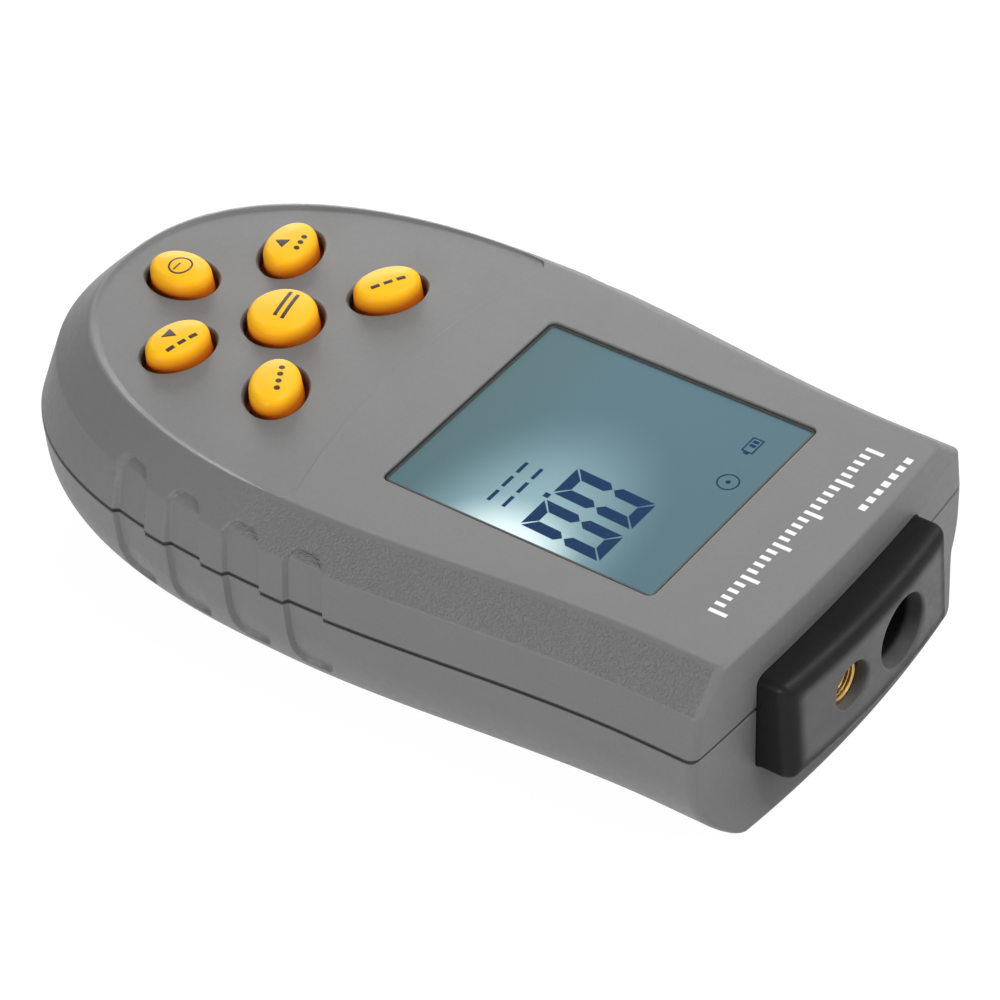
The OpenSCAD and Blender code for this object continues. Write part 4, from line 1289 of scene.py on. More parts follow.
@dataclass
class Key:
    """One rubber key: its cap, its well in the upper shell and its printed mark."""

    name: str
    long_half: float
    short_half: float
    turn: float
    mark: Mark
    gap: float = 0.55
    rim: float = 0.75
    rim_drop: float = 0.2
    well_depth: float = 5.0
    flange: float = 1.1
    flange_soft: float = 0.15
    flange_z: Pair = (25.2, 26.5)
    edge_round: float = 1.15
    dome: float = 0.35
    taper: float = 0.22
    lift: float = 0.02
    sink: float = 0.12
    ring_count: int = 96

    def __post_init__(self) -> None:
        """Reads the key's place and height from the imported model."""
        low, high = corners("key_" + self.name)
        self.x, self.y = (low[:2] + high[:2]) / 2
        self.top = high[2]

    def to_plan(self, along: Array, across: Array) -> tuple[Array, Array]:
        """Turns places on the key, along and across its long axis, into plan."""
        c, s = math.cos(math.radians(self.turn)), math.sin(math.radians(self.turn))
        return self.x + along * c - across * s, self.y + along * s + across * c

    def crown(self, along: Array, across: Array) -> Array:
        """Height of the key's face: a shallow dome, top minus dome times the squared share out."""
        share = (along / self.long_half) ** 2 + (across / self.short_half) ** 2
        return self.top - self.dome * share

    def rings(self, grow: Array, z: Array) -> Array:
        """Ovals of the key's plan grown by each grow, at each z."""
        turn = full_turn(self.ring_count)
        along = (self.long_half + grow)[:, None] * np.cos(turn)
        across = (self.short_half + grow)[:, None] * np.sin(turn)
        x, y = self.to_plan(along, across)
        return np.stack([x, y, np.broadcast_to(z[:, None], x.shape)], axis=-1)

    def well(self, face_z: float) -> Shape:
        """Tool for the well: straight below, with a rounded mouth at the recessed face."""
        turn = quarter_turn(8)
        mouth = face_z - self.rim_drop
        grow = np.concatenate([[0.0], self.rim * (1 - np.cos(turn)), [self.rim + 0.5]]) + self.gap
        z = np.concatenate([[face_z - self.well_depth], mouth - self.rim * (1 - np.sin(turn)), [mouth + 2.0]])
        z[-2] += 0.015
        return loft(self.rings(grow, z))

    def build_cap(self) -> Thing:
        """Cap with a flange below, nearly upright sides, a rounded shoulder and a domed face.

        The shoulder is a quarter arc of edge_round, and the face inside it follows crown.
        """
        low, high = self.flange_z
        soft = self.flange_soft
        turn = quarter_turn(10)[1:]
        shoulder = self.top - self.dome - self.edge_round
        wall_z = np.linspace(high, shoulder, 9)
        wall_in = self.taper * (wall_z - high) / (shoulder - high)
        arc_in = self.taper + self.edge_round * (1 - np.cos(turn))
        arc_z = shoulder + (self.edge_round + self.dome * 0.25) * np.sin(turn)
        limit = self.short_half - arc_in[-1]
        face_in = arc_in[-1] + limit * np.array([0.15, 0.35, 0.55, 0.75, 0.9, 0.97])
        share = (self.short_half - face_in) / limit
        face_z = self.top - (self.top - arc_z[-1]) * share**2
        foot_in = [soft - self.flange, -self.flange, -self.flange, soft - self.flange, 0.0]
        inset = np.concatenate([foot_in, wall_in, arc_in, face_in])
        z = np.concatenate([[low, low + soft, high - soft, high, high], wall_z, arc_z, face_z])
        z[5] += 0.02
        self.profile = (np.concatenate([arc_in, face_in]), np.concatenate([arc_z, face_z]))
        return settle(make_thing("cap_" + self.name, loft(self.rings(-inset, z))), 40.0)

    def face_height(self, along: Array, across: Array) -> Array:
        """Height of the finished face at a place on the key, read from the cap's own profile."""
        radial = np.hypot(along / self.long_half, across / self.short_half)
        reach = np.hypot(along, across) / np.maximum(radial, 1e-6)
        inset = reach * (1.0 - radial)
        return np.interp(inset, self.profile[0], self.profile[1])

    def patch(self, along: Array, across: Array) -> Shape:
        """Thin body of ink over a grid of places on the face."""
        x, y = self.to_plan(along, across)
        z = self.face_height(along, across)
        return slab(np.stack([x, y, z + self.lift], axis=-1), np.stack([x, y, z - self.sink], axis=-1))

    def bar(self, along: float, across: float, length: float, width: float, turn: float = 0.0) -> Shape:
        """Bar of ink: a grid of length by width about a place, turned in the key's plane."""
        sides = np.linspace(-0.5, 0.5, 13) * length, np.linspace(-0.5, 0.5, 5) * width
        u, v = np.meshgrid(*sides, indexing="ij")
        c, s = math.cos(math.radians(turn)), math.sin(math.radians(turn))
        return self.patch(along + u * c - v * s, across + u * s + v * c)

    def spot(self, along: float, across: float, radius: float) -> Shape:
        """Round spot of ink: a square grid pressed onto a disc."""
        side = np.linspace(-1, 1, 9)
        u, v = np.meshgrid(side, side, indexing="ij")
        along = along + radius * u * np.sqrt(1 - v * v / 2)
        return self.patch(along, across + radius * v * np.sqrt(1 - u * u / 2))

    def hoop(self, along: float, across: float, radius: float, width: float) -> Shape:
        """Ring of ink: a square section carried round a circle.

        Args:
            along: place of the middle along the key.
            across: place of the middle across it.
            radius: radius of the ring's centre line.
            width: width of the line.

        Returns:
            The points and faces of the ring.
        """
        turn = full_turn()
        reach = radius + width * np.array([-0.5, 0.5, 0.5, -0.5])[:, None]
        u, v = along + reach * np.cos(turn), across + reach * np.sin(turn)
        x, y = self.to_plan(u, v)
        z = self.face_height(u, v) + np.array([self.lift, self.lift, -self.sink, -self.sink])[:, None]
        return loft(np.stack([x, y, z], axis=-1), joined=True)

    def pointer(self, tips: tuple[Pair, Pair, Pair]) -> Shape:
        """Filled triangle of ink between three places: a grid that narrows to its third."""
        a, b, c = (np.array(tip) for tip in tips)
        u, v = np.meshgrid(np.linspace(0, 1, 7), np.linspace(0, 0.97, 7), indexing="ij")
        spot = a + (b - a) * u[..., None]
        spot = spot + (c - spot) * v[..., None]
        return self.patch(spot[..., 0], spot[..., 1])

    def marks(self) -> list[Shape]:
        """Bodies of ink for this key's mark."""
        if self.mark is Mark.POWER:
            return [self.hoop(0.3, -0.2, 1.62, 0.26), self.bar(0.0, -0.62, 1.5, 0.26, 90)]
        if self.mark is Mark.TWIN:
            return [self.bar(-0.75, 0.9, 5.4, 0.55, 14), self.bar(-0.75, -0.35, 5.4, 0.55, 14)]
        if self.mark is Mark.BARS:
            return [self.bar(-1.9 + 1.9 * i, 0.75, 1.25, 0.6) for i in range(3)]
        if self.mark is Mark.DOTS:
            return [self.spot(-2.1 + 1.4 * i, 0.75, 0.42) for i in range(4)]
        if self.mark is Mark.POINTER_BARS:
            tips = ((0.12, 0.25), (-0.22, -1.79), (1.79, -1.04))
            return [self.pointer(tips), *[self.bar(-1.6 + 1.9 * i, 1.65, 1.25, 0.6) for i in range(3)]]
        tips = ((0.59, -1.83), (0.14, 0.28), (2.01, -0.19))
        return [self.pointer(tips), *[self.spot(-1.2 + 1.25 * i, 1.75, 0.4) for i in range(3)]]

    def build_marks(self) -> Thing:
        """All of this key's ink as one piece."""
        return make_thing("print_" + self.name, gather(self.marks()))


def gather(shapes: list[Shape]) -> Shape:
    """Several closed bodies as one, each turned outwards first."""
    points, faces, offset = [], [], 0
    for shape_points, shape_faces in shapes:
        faces += [group + offset for group in outwards(shape_points, shape_faces)]
        points.append(shape_points)
        offset += len(shape_points)
    return np.concatenate(points), faces


@dataclass
class SensorBlock:
    """Black block at the sensor end with its two bores and the optics in them."""

    bow_r: float = 140.0
    corner_r: float = BLOCK_CORNER_R
    edge_round: float = 1.9
    least_r: float = 0.6
    corner_steps: int = 10
    round_count: int = 72
    bow_room: float = 1.4
    shrink: tuple[float, ...] = (0.94, 0.85, 0.7, 0.5, 0.3, 0.12, 0.03)
    between: tuple[int, int] = (36, 10)
    flange: float = BLOCK_FLANGE
    flange_t: float = 1.6
    wall: float = 1.6
    front_t: float = 2.4
    receiver: Pair = (-5.85, 5.2)
    laser: Pair = (5.9, 3.45)
    rim: float = 0.45
    laser_rim_share: float = 0.8
    lens_depth: float = 7.5
    lens_seat: float = 0.9
    tube_wall: float = 1.0
    tube_short: float = 1.8
    aperture_z: float = 14.25
    lens_t: float = 1.4
    lens_dome: float = 0.6

    def __post_init__(self) -> None:
        """Reads the block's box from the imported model."""
        self.low, self.high = corners("sensor_block")
        self.mid_z = (self.low[2] + self.high[2]) / 2
        self.width = self.high[0] - self.low[0] - 2 * self.flange
        self.height = self.high[2] - self.low[2] - 2 * self.flange

    def front_y(self, x: Array) -> Array:
        """Station of the bowed front at x: the front's middle minus the sagitta of its radius."""
        return self.high[1] - sagitta(self.bow_r, x)

    def body(self) -> Shape:
        """Outer surface: rounded-rectangle rings along Y, an eased edge, and the bowed front.

        Past the edge's arc the rings shrink towards the middle, each point at the bow's station.
        """
        turn = quarter_turn(9)
        how = (self.corner_steps, self.between)
        outline = round_rectangle(self.width, self.height, self.corner_r, *how)
        back = np.linspace(self.low[1], self.high[1] - self.edge_round - self.bow_room, 6)
        rings = [np.stack([outline[:, 0], np.full(len(outline), y), outline[:, 1]], axis=-1) for y in back]
        for angle in turn:
            inset = self.edge_round * (1 - math.cos(angle))
            corner = max(self.corner_r - inset, self.least_r)
            ring = round_rectangle(self.width - 2 * inset, self.height - 2 * inset, corner, *how)
            depth = self.edge_round * (1 - math.sin(angle))
            rings.append(np.stack([ring[:, 0], self.front_y(ring[:, 0]) - depth, ring[:, 1]], axis=-1))
        last = rings[-1]
        for share in self.shrink:
            x = last[:, 0] * share
            rings.append(np.stack([x, self.front_y(x), last[:, 2] * share], axis=-1))
        return loft(np.stack(rings) + np.array([0.0, 0.0, self.mid_z]))

    def bore(self, middle_x: float, radius: float, depth_y: float, rim: float) -> Shape:
        """Tool for a bore with a rounded mouth that follows the bow.

        Args:
            middle_x: station of its axis across the block.
            radius: radius of the bore.
            depth_y: station of its far end.
            rim: radius of the rounded mouth.

        Returns:
            The points and faces of the tool.
        """
        turn = full_turn(self.round_count)
        arc = quarter_turn(8)
        grow = np.concatenate([[0.0, 0.0], rim * (1 - np.cos(arc)), [rim + 0.3]])
        depth = np.concatenate([[0.0, rim + 0.2], rim * (1 - np.sin(arc)), [-2.0]])
        depth[-2] -= 0.015
        x = middle_x + (radius + grow)[:, None] * np.cos(turn)
        z = self.aperture_z + (radius + grow)[:, None] * np.sin(turn)
        y = self.front_y(x) - depth[:, None]
        y[0] = depth_y
        return loft(np.stack([x, y, z], axis=-1))

    def rod(self, x: float, radius: float, y0: float, y1: float) -> Shape:
        """Round bar along Y at the height of the apertures."""
        return stand_up(prism(circle(x, self.aperture_z, radius, self.round_count), y0, y1))

    def build(self) -> Thing:
        """Block with its flange, the hollow behind its front, two tubes and their bores."""
        block = make_thing("sensor_nose", self.body())
        back, front = self.low[1], self.high[1]
        flange = round_rectangle(self.width + 2 * self.flange, self.height + 2 * self.flange, self.corner_r)
        hollow = round_rectangle(self.width - 2 * self.wall, self.height - 2 * self.wall, self.corner_r - 0.5)
        seat_y = front - self.lens_depth
        middle, radius = self.receiver
        tubes = [
            self.rod(x, r + self.tube_wall, back, front - self.tube_short)
            for x, r in (self.receiver, self.laser)
        ]
        bores = [
            self.bore(middle, radius, seat_y, self.rim),
            self.rod(middle, radius - self.lens_seat, back - 2.0, seat_y + 1.0),
            self.bore(*self.laser, back - 2.0, self.rim * self.laser_rim_share),
        ]
        work(
            block,
            (Step.JOIN, tools(stand_up(prism(flange, back, back + self.flange_t), self.mid_z))),
            (Step.CUT, tools(stand_up(prism(hollow, back - 1.0, front - self.front_t), self.mid_z))),
            (Step.JOIN, tools(*tubes)),
            (Step.CUT, tools(*bores)),
        )
        return settle(block)

    def build_receiver_lens(self) -> Thing:
        """Domed lens on the step in the receiver bore: a flat rim and a spherical front."""
        radius = self.receiver[1] - 0.05
        dome_r = (radius**2 + self.lens_dome**2) / (2 * self.lens_dome)
        share = np.array([1.0, 1.0, 0.97, 0.88, 0.76, 0.62, 0.46, 0.3, 0.14, 0.04])
        seat = self.high[1] - self.lens_depth
        cap = seat + self.lens_t + self.lens_dome - dome_r + np.sqrt(dome_r**2 - (radius * share) ** 2)
        reach = np.concatenate([[0.97 * radius], radius * share])
        y = np.concatenate([[seat, seat + 0.15], cap[1:]])
        lens = make_thing("receiver_glass", spun((self.receiver[0], self.aperture_z), reach, y))
        return settle(lens, 45.0)


@dataclass
class Collar:
    """Threaded brass collar in the mouth of the laser bore, in front of the barrel."""

    middle_x: float
    middle_z: float
    outer_r: float = 3.38
    inner_r: float = 2.75
    length: float = 2.6
    gap: float = 0.05
    thread_pitch: float = 0.5
    thread_depth: float = 0.14
    rows: int = 53
    count: int = 72

    def build(self) -> Thing:
        """Tube along Y whose bore is waved: the inner radius plus a depth times a sine of y."""
        start = corners("laser_barrel")[1][1] + self.gap
        y = np.linspace(start, start + self.length, self.rows)
        inner = self.inner_r + self.thread_depth * np.sin(2 * math.pi * (y - start) / self.thread_pitch)
        reach = np.concatenate([[self.outer_r, self.outer_r], inner[::-1]])
        along = np.concatenate([[y[0], y[-1]], y[::-1]])
        shape = spun((self.middle_x, self.middle_z), reach, along, self.count, joined=True)
        return settle(make_thing("laser_collar", shape))


@dataclass
class Display:
    """Window lens with a black ring of painted shade in the gap round it, the crystal's lit field, and the
    figures that it shows.
    """

    lens_edge: float = 0.12
    lens_lift: float = 0.03
    lens_short: float = 0.3
    # Black ring in the window's gap: painted shade, the gap itself being in shade.
    shade_ring_w: float = 0.5
    face_drop: float = 0.16
    picture_drop: float = 0.5
    picture_t: float = 0.1
    picture_edge: float = 0.05
    view_slope: Pair = (0.90, 0.78)
    shade_ring_drop: float = 0.3
    shade_ring_h: float = 0.8
    shade_ring_out: float = 0.15
    corner_r: float = 0.9
    figure_t: float = 0.02
    figure_lift: float = 0.002
    stroke: float = 1.75
    joint_gap: float = 0.22
    slant: float = 0.04
    parallax: Pair = (-0.77, -0.67)
    digit_x: tuple[Pair, Pair] = ((3.75, 9.4), (10.9, 16.45))
    digit_y: Pair = (21.5, 34.3)
    point: Triple = (9.75, 20.75, 0.85)
    label_x: Pair = (6.4, 15.8)
    label_y: Pair = (14.95, 17.9)
    label_line: float = 0.55
    label_bars: int = 3
    label_share: float = 0.72
    cell_at: Pair = (-11.5, 38.3)
    hoop_at: Pair = (-4.15, 39.6)
    hoop_r: float = 1.45
    hoop_line: float = 0.22
    hoop_dot_r: float = 0.35

    def __post_init__(self) -> None:
        """Reads the window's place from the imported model."""
        self.low, self.high = corners("display_lens")
        self.size = self.high - self.low
        self.middle = (self.low + self.high)[:2] / 2
        self.case_z = corners("top_shell")[1][2]
        self.face_z = self.case_z - self.picture_drop
        rise = self.face_z - self.low[2]
        self.shift = np.array(self.parallax) + rise * np.array(self.view_slope)

    def build_picture(self) -> Thing:
        """The crystal's lit field as it is seen through the thick window, which lifts it."""
        size = self.size - 2 * self.picture_edge
        outline = round_rectangle(size[0], size[1], self.corner_r) + self.middle
        return settle(make_thing("display_field", prism(outline, self.face_z - self.picture_t, self.face_z)))

    def build_lens(self) -> Thing:
        """Clear window plate with its upper and lower edges eased."""
        edge = self.lens_edge
        z0, z1 = self.low[2] + self.lens_lift, self.case_z - self.face_drop
        inset = np.array([edge, edge * 0.3, 0.0, 0.0, edge * 0.3, edge])
        z = np.array([z0, z0 + edge * 0.3, z0 + edge, z1 - edge, z1 - edge * 0.3, z1])
        width, length = self.size[0], self.size[1] - self.lens_short
        rings = [round_rectangle(width - 2 * i, length - 2 * i, self.corner_r - i) for i in inset]
        rings = np.stack(rings) + self.middle + np.array([0.0, self.lens_short / 2])
        return settle(make_thing("window_lens", loft(at_heights(rings, z))), 50.0)

    def build_shade_ring(self) -> Thing:
        """Black ring of painted shade in the gap round the window: a square section carried round the
        opening.
        """
        z1 = self.case_z - self.shade_ring_drop
        z0 = z1 - self.shade_ring_h
        grow = self.shade_ring_out - np.array([0.0, 0.0, self.shade_ring_w, self.shade_ring_w])
        width, length = self.size[0], self.size[1]
        rings = [round_rectangle(width + 2 * g, length + 2 * g, self.corner_r + g) for g in grow]
        rings = at_heights(np.stack(rings) + self.middle, np.array([z0, z1, z1, z0]))
        return make_thing("window_shade_ring", loft(rings, joined=True))

    def flat(self, outline: Array) -> Shape:
        """Thin body on the crystal over an outline in plan, moved by the parallax of the window."""
        return prism(outline + self.shift, self.face_z + self.figure_lift, self.face_z + self.figure_t)
    def digit(self, x_range: Pair) -> list[Array]:
        """Outlines of the six lit segments of a nought between two stations across.

        The corners are mitred: the outer side of each segment runs out to the corner, the inner
        side stops a stroke short, and thin gaps part the segments.
        """
        x0, x1 = x_range
        y0, y1 = self.digit_y
        w, g = self.stroke, self.joint_gap / 2
        middle, tip = (y0 + y1) / 2, w / 2
        made = [
            np.array([[x0 + g * 2, y0], [x1 - g * 2, y0], [x1 - w - g, y0 + w], [x0 + w + g, y0 + w]]),
            np.array([[x0 + w + g, y1 - w], [x1 - w - g, y1 - w], [x1 - g * 2, y1], [x0 + g * 2, y1]]),
        ]
        under, over = middle - g, middle + g
        for x, inward in ((x0, 1.0), (x1, -1.0)):
            inner, point = x + inward * w, x + inward * w / 2
            made += [
                np.array([
                    [x, y0 + g * 2], [x, under - tip], [point, under], [inner, under - tip],
                    [inner, y0 + w + g],
                ]),
                np.array([
                    [x, over + tip], [x, y1 - g * 2], [inner, y1 - w - g], [inner, over + tip],
                    [point, over],
                ]),
            ]
        for outline in made:
            outline[:, 0] += (outline[:, 1] - y0) * self.slant
        return made

    def build_figures(self) -> Thing:
        """The figures, the point, and plain marks in place of the unit and the signs."""
        outlines = [piece for x_range in self.digit_x for piece in self.digit(x_range)]
        x, y, size = self.point
        outlines.append(rectangle(x, y, x + size, y + size))
        pitch = (self.label_x[1] - self.label_x[0]) / self.label_bars
        low, high, line = *self.label_y, self.label_line
        for i in range(self.label_bars):
            left = self.label_x[0] + i * pitch
            for y0, y1 in ((low, low + line), (high - line, high)):
                outlines.append(rectangle(left, y0, left + pitch * self.label_share, y1))
        shapes = [self.flat(outline) for outline in outlines + self.cell_sign()]
        return settle(make_thing("display_figures", gather(shapes + self.hoop_sign())))

    def cell_sign(self) -> list[Array]:
        """Outlines of a dry cell: four thin bars round a rectangle, a terminal and two bars."""
        x, y = self.cell_at
        left, foot, width, height, line = x - 1.7, y - 0.9, 3.0, 1.8, 0.22
        bars = (
            (left, foot, width, line),
            (left, foot + height - line, width, line),
            (left, foot + line, line, height - 2 * line),
            (left + width - line, foot + line, line, height - 2 * line),
        )
        made = [rectangle(a, b, a + w, b + h) for a, b, w, h in bars]
        made.append(rectangle(x + 1.3, y - 0.4, x + 1.7, y + 0.4))
        return made + [rectangle(a, y - 0.45, a + 0.5, y + 0.45) for a in (x - 1.2, x - 0.4)]

    def hoop_sign(self) -> list[Shape]:
        """Thin ring with a dot in its middle, a plain sign for turning."""
        turn = full_turn()
        x, y = np.array(self.hoop_at) + self.shift
        reach = self.hoop_r + self.hoop_line * np.array([-0.5, 0.5, 0.5, -0.5])[:, None]
        low, high = self.figure_lift, self.figure_t
        z = self.face_z + np.array([high, high, low, low])[:, None]
        x, y = x + reach * np.cos(turn), y + reach * np.sin(turn)
        ring = np.stack([x, y, np.broadcast_to(z, x.shape)], axis=-1)
        return [loft(ring, joined=True), self.flat(circle(*self.hoop_at, self.hoop_dot_r, 24))]


@dataclass
class FacePrint:
    """White printed scale and a short row of squares on the top face, in place of words."""

    ticks: int = 26
    tall_every: int = 5
    first: Pair = (16.4, 52.4)
    pitch: float = 1.42
    tall: float = 2.7
    short: float = 1.5
    width: float = 0.62
    lift: float = 0.02
    sink: float = 0.05
    squares: int = 7
    square_first: Pair = (-9.6, 57.0)
    square_pitch: float = 1.75
    square_side: float = 1.05

    def patch(self, x: float, y: float, width: float, height: float, face_z: float) -> Shape:
        """Thin white rectangle on the face, from one corner."""
        return prism(rectangle(x, y, x + width, y + height), face_z - self.sink, face_z + self.lift)

    def build(self, face_z: float) -> Thing:
        """Scale of tall and short ticks, every fifth one tall, and a row of squares beside it."""
        x, y = self.first
        heights = [self.tall if i % self.tall_every == 0 else self.short for i in range(self.ticks)]
        shapes = [
            self.patch(x - i * self.pitch, y - self.tall / 2, self.width, height, face_z)
            for i, height in enumerate(heights)
        ]
        x, y = self.square_first
        side = self.square_side
        shapes += [
            self.patch(x - i * self.square_pitch, y - side / 2, side, side, face_z)
            for i in range(self.squares)
        ]
        return settle(make_thing("face_print", gather(shapes)))


@dataclass(frozen=True)
class Lamp:
    """Soft rectangular studio lamp aimed at a point, places in millimetres."""

    name: str
    place: Triple
    watts: float
    aim: Triple = (0.0, 0.0, 15.0)
    size: Pair = (300.0, 300.0)

    def build(self) -> None:
        """Adds the lamp to the scene."""
        light = bpy.data.lights.new(self.name, "AREA")
        light.shape = "RECTANGLE"
        light.size, light.size_y = (side * MM for side in self.size)
        light.energy = self.watts
        thing = bpy.data.objects.new(self.name, light)
        thing.location = Vector(self.place) * MM
        thing.rotation_euler = (Vector(self.aim) - Vector(self.place)).to_track_quat("-Z", "Y").to_euler()
        bpy.context.scene.collection.objects.link(thing)


@dataclass(frozen=True)
class Studio:
    """White studio: camera, floor, world and lamps."""

    lens: float = 153.325
    sensor: float = 36.0
    clip: Pair = (0.05, 20.0)
    place: Triple = (324.371, 286.398, 390.252)
    aim: Triple = (1.542, 5.632, 14.65)
    roll: float = 6.1985
    floor_half: float = 1500.0
    floor_glow: float = 1.075
    floor_share: float = 0.9
    floor_paint: float = 0.85
    room: float = 0.02
    lamps: tuple[Lamp, ...] = (
        Lamp("high_120", (-164.0, 285.0, 633.0), 3.00),
        Lamp("low_0", (685.0, 0.0, 161.0), 3.03),
        Lamp("low_225", (-484.0, -484.0, 161.0), 2.72),
        Lamp("middle_210", (-497.0, -287.0, 417.0), 0.77),
        Lamp("middle_150", (-497.0, 287.0, 417.0), 1.24),
        Lamp("middle_90", (0.0, 573.0, 417.0), 1.05),
    )

    def build(self) -> None:
        """Adds the camera, the lamps, the floor and the world."""
        scene = bpy.context.scene
        scene.view_settings.view_transform = "Standard"
        camera = bpy.data.cameras.new("camera")
        camera.lens, camera.sensor_width, camera.sensor_fit = self.lens, self.sensor, "HORIZONTAL"
        camera.clip_start, camera.clip_end = self.clip
        eye = bpy.data.objects.new("camera", camera)
        eye.location = Vector(self.place) * MM
        look = (Vector(self.aim) - Vector(self.place)).to_track_quat("-Z", "Y")
        eye.rotation_euler = (look @ Quaternion((0.0, 0.0, 1.0), math.radians(-self.roll))).to_euler()
        scene.collection.objects.link(eye)
        scene.camera = eye
        for lamp in self.lamps:
            lamp.build()
        half = self.floor_half
        points = np.column_stack([rectangle(-half, -half, half, half), np.zeros(4)])
        floor = make_thing("floor", (points, [np.array([[0, 1, 2, 3]])]))
        floor.data.materials.append(self.floor_material())
        scene.world = self.world()

    def seen(self, g: Graph) -> Socket:
        """One for rays that see the background: from the camera, a gloss or through glass."""
        path = g.add("LightPath")
        either = g.math("MAXIMUM", path.outputs["Is Camera Ray"], path.outputs["Is Glossy Ray"])
        return g.math("MAXIMUM", either, path.outputs["Is Transmission Ray"])

    def floor_material(self) -> Material:
        """Pale floor that reads as white to the camera and keeps the object's shadow."""
        g = Graph(bpy.data.materials.new("pale_floor"))
        paint = g.add("BsdfDiffuse", {"Color": grey(self.floor_paint)})
        white = g.add("Emission", {"Color": grey(1.0), "Strength": self.floor_glow})
        share = g.times(self.seen(g), self.floor_share)
        both = g.add("MixShader", {0: share, 1: paint.outputs[0], 2: white.outputs[0]})
        g.add("OutputMaterial", {"Surface": both.outputs[0]})
        return g.material

    def world(self) -> bpy.types.World:
        """White to rays that see it, and a soft even light to the rest."""
        world = bpy.data.worlds.new("studio")
        g = Graph(world)
        strength = g.math("ADD", g.times(self.seen(g), 1.0 - self.room), self.room)
        back = g.add("Background", {"Color": grey(1.0), "Strength": strength})
        g.add("OutputWorld", {"Surface": back.outputs[0]})
        return world


def dress_nodes(kept: dict[str, Material]) -> None:
    """Gives the nodes of the model that stay in view their materials."""
    for name, material in kept.items():
        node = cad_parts[name]
        if not node.data.materials:
            node.data.materials.append(material)
        for slot in node.material_slots:
            slot.material = material
        log.info("%s: finish %s", name, material.name)


def inner_finishes(
    lit: Material, glass: Material, brass: Material, pills: list[str]
) -> dict[str, Material]:
    """Finishes of the model's own nodes, most of them inside the case.

    Args:
        lit: finish of the lit crystal.
        glass: finish of the optics.
        brass: finish of the laser module.
        pills: names of the contact pills under the keys.

    Returns:
        A finish for each node that stays in view.
    """
    steel = Moulded("zinc_steel", (0.62, 0.62, 0.64, 1.0), 0.32, 1.0, 0.5, 0.006).material()
    black = Moulded("black_plastic", (0.02, 0.02, 0.022, 1.0), 0.45).material()
    green, track = (0.010, 0.110, 0.045, 1.0), (0.022, 0.190, 0.080, 1.0)
    board = Striped("board_green", green, track, 1.9, 0.35).material()
    carbon = Moulded("carbon_rubber", (0.02, 0.02, 0.02, 1.0), 0.7).material()
    milky = Moulded("milky_plastic", (0.80, 0.83, 0.84, 1.0), 0.5).material()
    pink, dark = (0.62, 0.22, 0.30, 1.0), (0.05, 0.05, 0.05, 1.0)
    wrap, band = (0.05, 0.05, 0.055, 1.0), (0.62, 0.44, 0.12, 1.0)
    return {
        "lcd_glass": lit,
        "lcd_frame": milky,
        "backlight_panel": milky,
        "contact_strip": Striped("layered_rubber", pink, dark, 0.4).material(),
        "main_board": board,
        "sensor_board": board,
        "board_screws": steel,
        "case_screws": steel,
        "crystal": steel,
        "keypad_mat": Moulded("mat_silicone", (0.62, 0.62, 0.58, 1.0), 0.6).material(),
        "contact_pads": Moulded("gold_plate", (0.80, 0.58, 0.24, 1.0), 0.3, 1.0).material(),
        "laser_barrel": brass,
        "laser_diode": brass,
        "laser_lens": glass,
        "photodiode": black,
        "board_connector": black,
        "battery": Striped("battery_wrap", wrap, band, 26.0, 0.3, 0.3).material(),
        "battery_snap": black,
        "battery_lead_red": Moulded("red_lead", (0.50, 0.02, 0.02, 1.0), 0.45).material(),
        "battery_lead_black": carbon,
        "foam_pad": Moulded("open_foam", (0.06, 0.06, 0.065, 1.0), 0.9, 0.0, 0.6, 0.25, 0.3).material(),
        "controller_chip": black,
        "capacitor": Moulded("capacitor_sleeve", (0.03, 0.06, 0.20, 1.0), 0.3).material(),
        **dict.fromkeys(pills, carbon),
    }


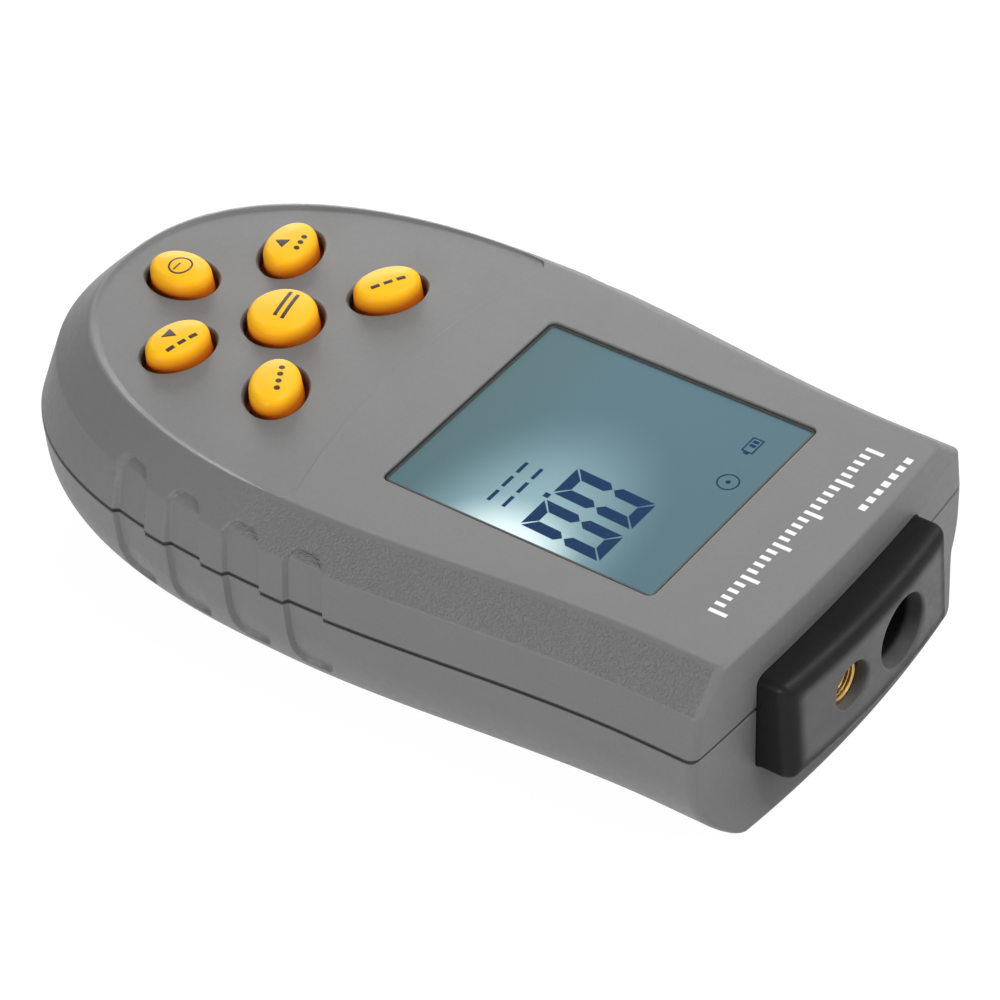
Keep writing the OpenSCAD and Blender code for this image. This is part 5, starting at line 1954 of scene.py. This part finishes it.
def main() -> None:
    """Builds the studio and every piece, in order."""
    logging.basicConfig(level=logging.INFO, format="%(name)s: %(message)s")
    Studio().build()
    case = Case()
    grey_plastic = CasePlastic().material()
    rubber = KeyRubber().material()
    ink = Ink("key_ink", (0.030, 0.014, 0.010, 1.0)).material()
    navy = Ink("display_ink", (0.006, 0.034, 0.105, 1.0), 0.9, 0.0, 0.05).material()
    white = Ink("face_ink", (0.86, 0.86, 0.86, 1.0), uneven=0.04).material()

    keys = [
        Key("centre", 5.05, 5.05, 0.0, Mark.TWIN),
        Key("upper_right", 5.0, 3.75, 30.0, Mark.DOTS),
        Key("upper_left", 5.0, 3.75, -30.0, Mark.BARS),
        Key("lower_right", 5.0, 3.75, -14.0, Mark.POINTER_BARS),
        Key("lower_left", 5.0, 3.75, 14.0, Mark.POINTER_DOTS),
        Key("end_button", 5.0, 3.75, 90.0, Mark.POWER),
    ]
    top = case.build_top([key.well(case.case_h) for key in keys])
    dress(top, "case", grey_plastic, Slot.CASE, "top_shell")
    dress(case.build_bottom(), "case", grey_plastic, Slot.CASE, "bottom_shell")
    dress(case.build_door(), "door", grey_plastic, Slot.CASE, "battery_door")
    for key in keys:
        body = "button_" + key.name
        dress(key.build_cap(), body, rubber, Slot.KEY, "key_" + key.name)
        dress(key.build_marks(), body, ink, Slot.PRINT)

    block = SensorBlock()
    dress(block.build(), "case", BlockPlastic().material(), Slot.BLOCK, "sensor_block")
    glass = ClearSheet("lens_glass", (0.75, 0.85, 0.9, 1.0), 0.25, 0.5, 0.04).material()
    dress(block.build_receiver_lens(), "case", glass, Slot.OPTIC, "receiver_lens")
    axis = (block.laser[0], block.aperture_z)
    brass = TurnedMetal("turned_brass", (0.62, 0.40, 0.14, 1.0), *axis).material()

    display = Display()
    clear = ClearSheet("window_clear", (0.80, 0.90, 0.90, 1.0), 0.02, 0.12).material()
    dress(display.build_lens(), "case", clear, Slot.LENS, "display_lens")
    lit = LitCrystal().material()
    dress(display.build_picture(), "case", lit, Slot.LENS)
    dress(display.build_figures(), "case", navy, Slot.PRINT)
    # Black ring of painted shade in the gap round the window.
    shade_ink = Ink("painted_shade_black", (0.012, 0.012, 0.012, 1.0)).material()
    dress(display.build_shade_ring(), "case", shade_ink, Slot.PRINT)
    dress(FacePrint().build(case.case_h), "case", white, Slot.WHITE)
    dress(Collar(*axis).build(), "case", brass, Slot.BRASS)
    dress_nodes(inner_finishes(lit, glass, brass, ["pill_" + key.name for key in keys]))


if __name__ == "__main__":
    main()
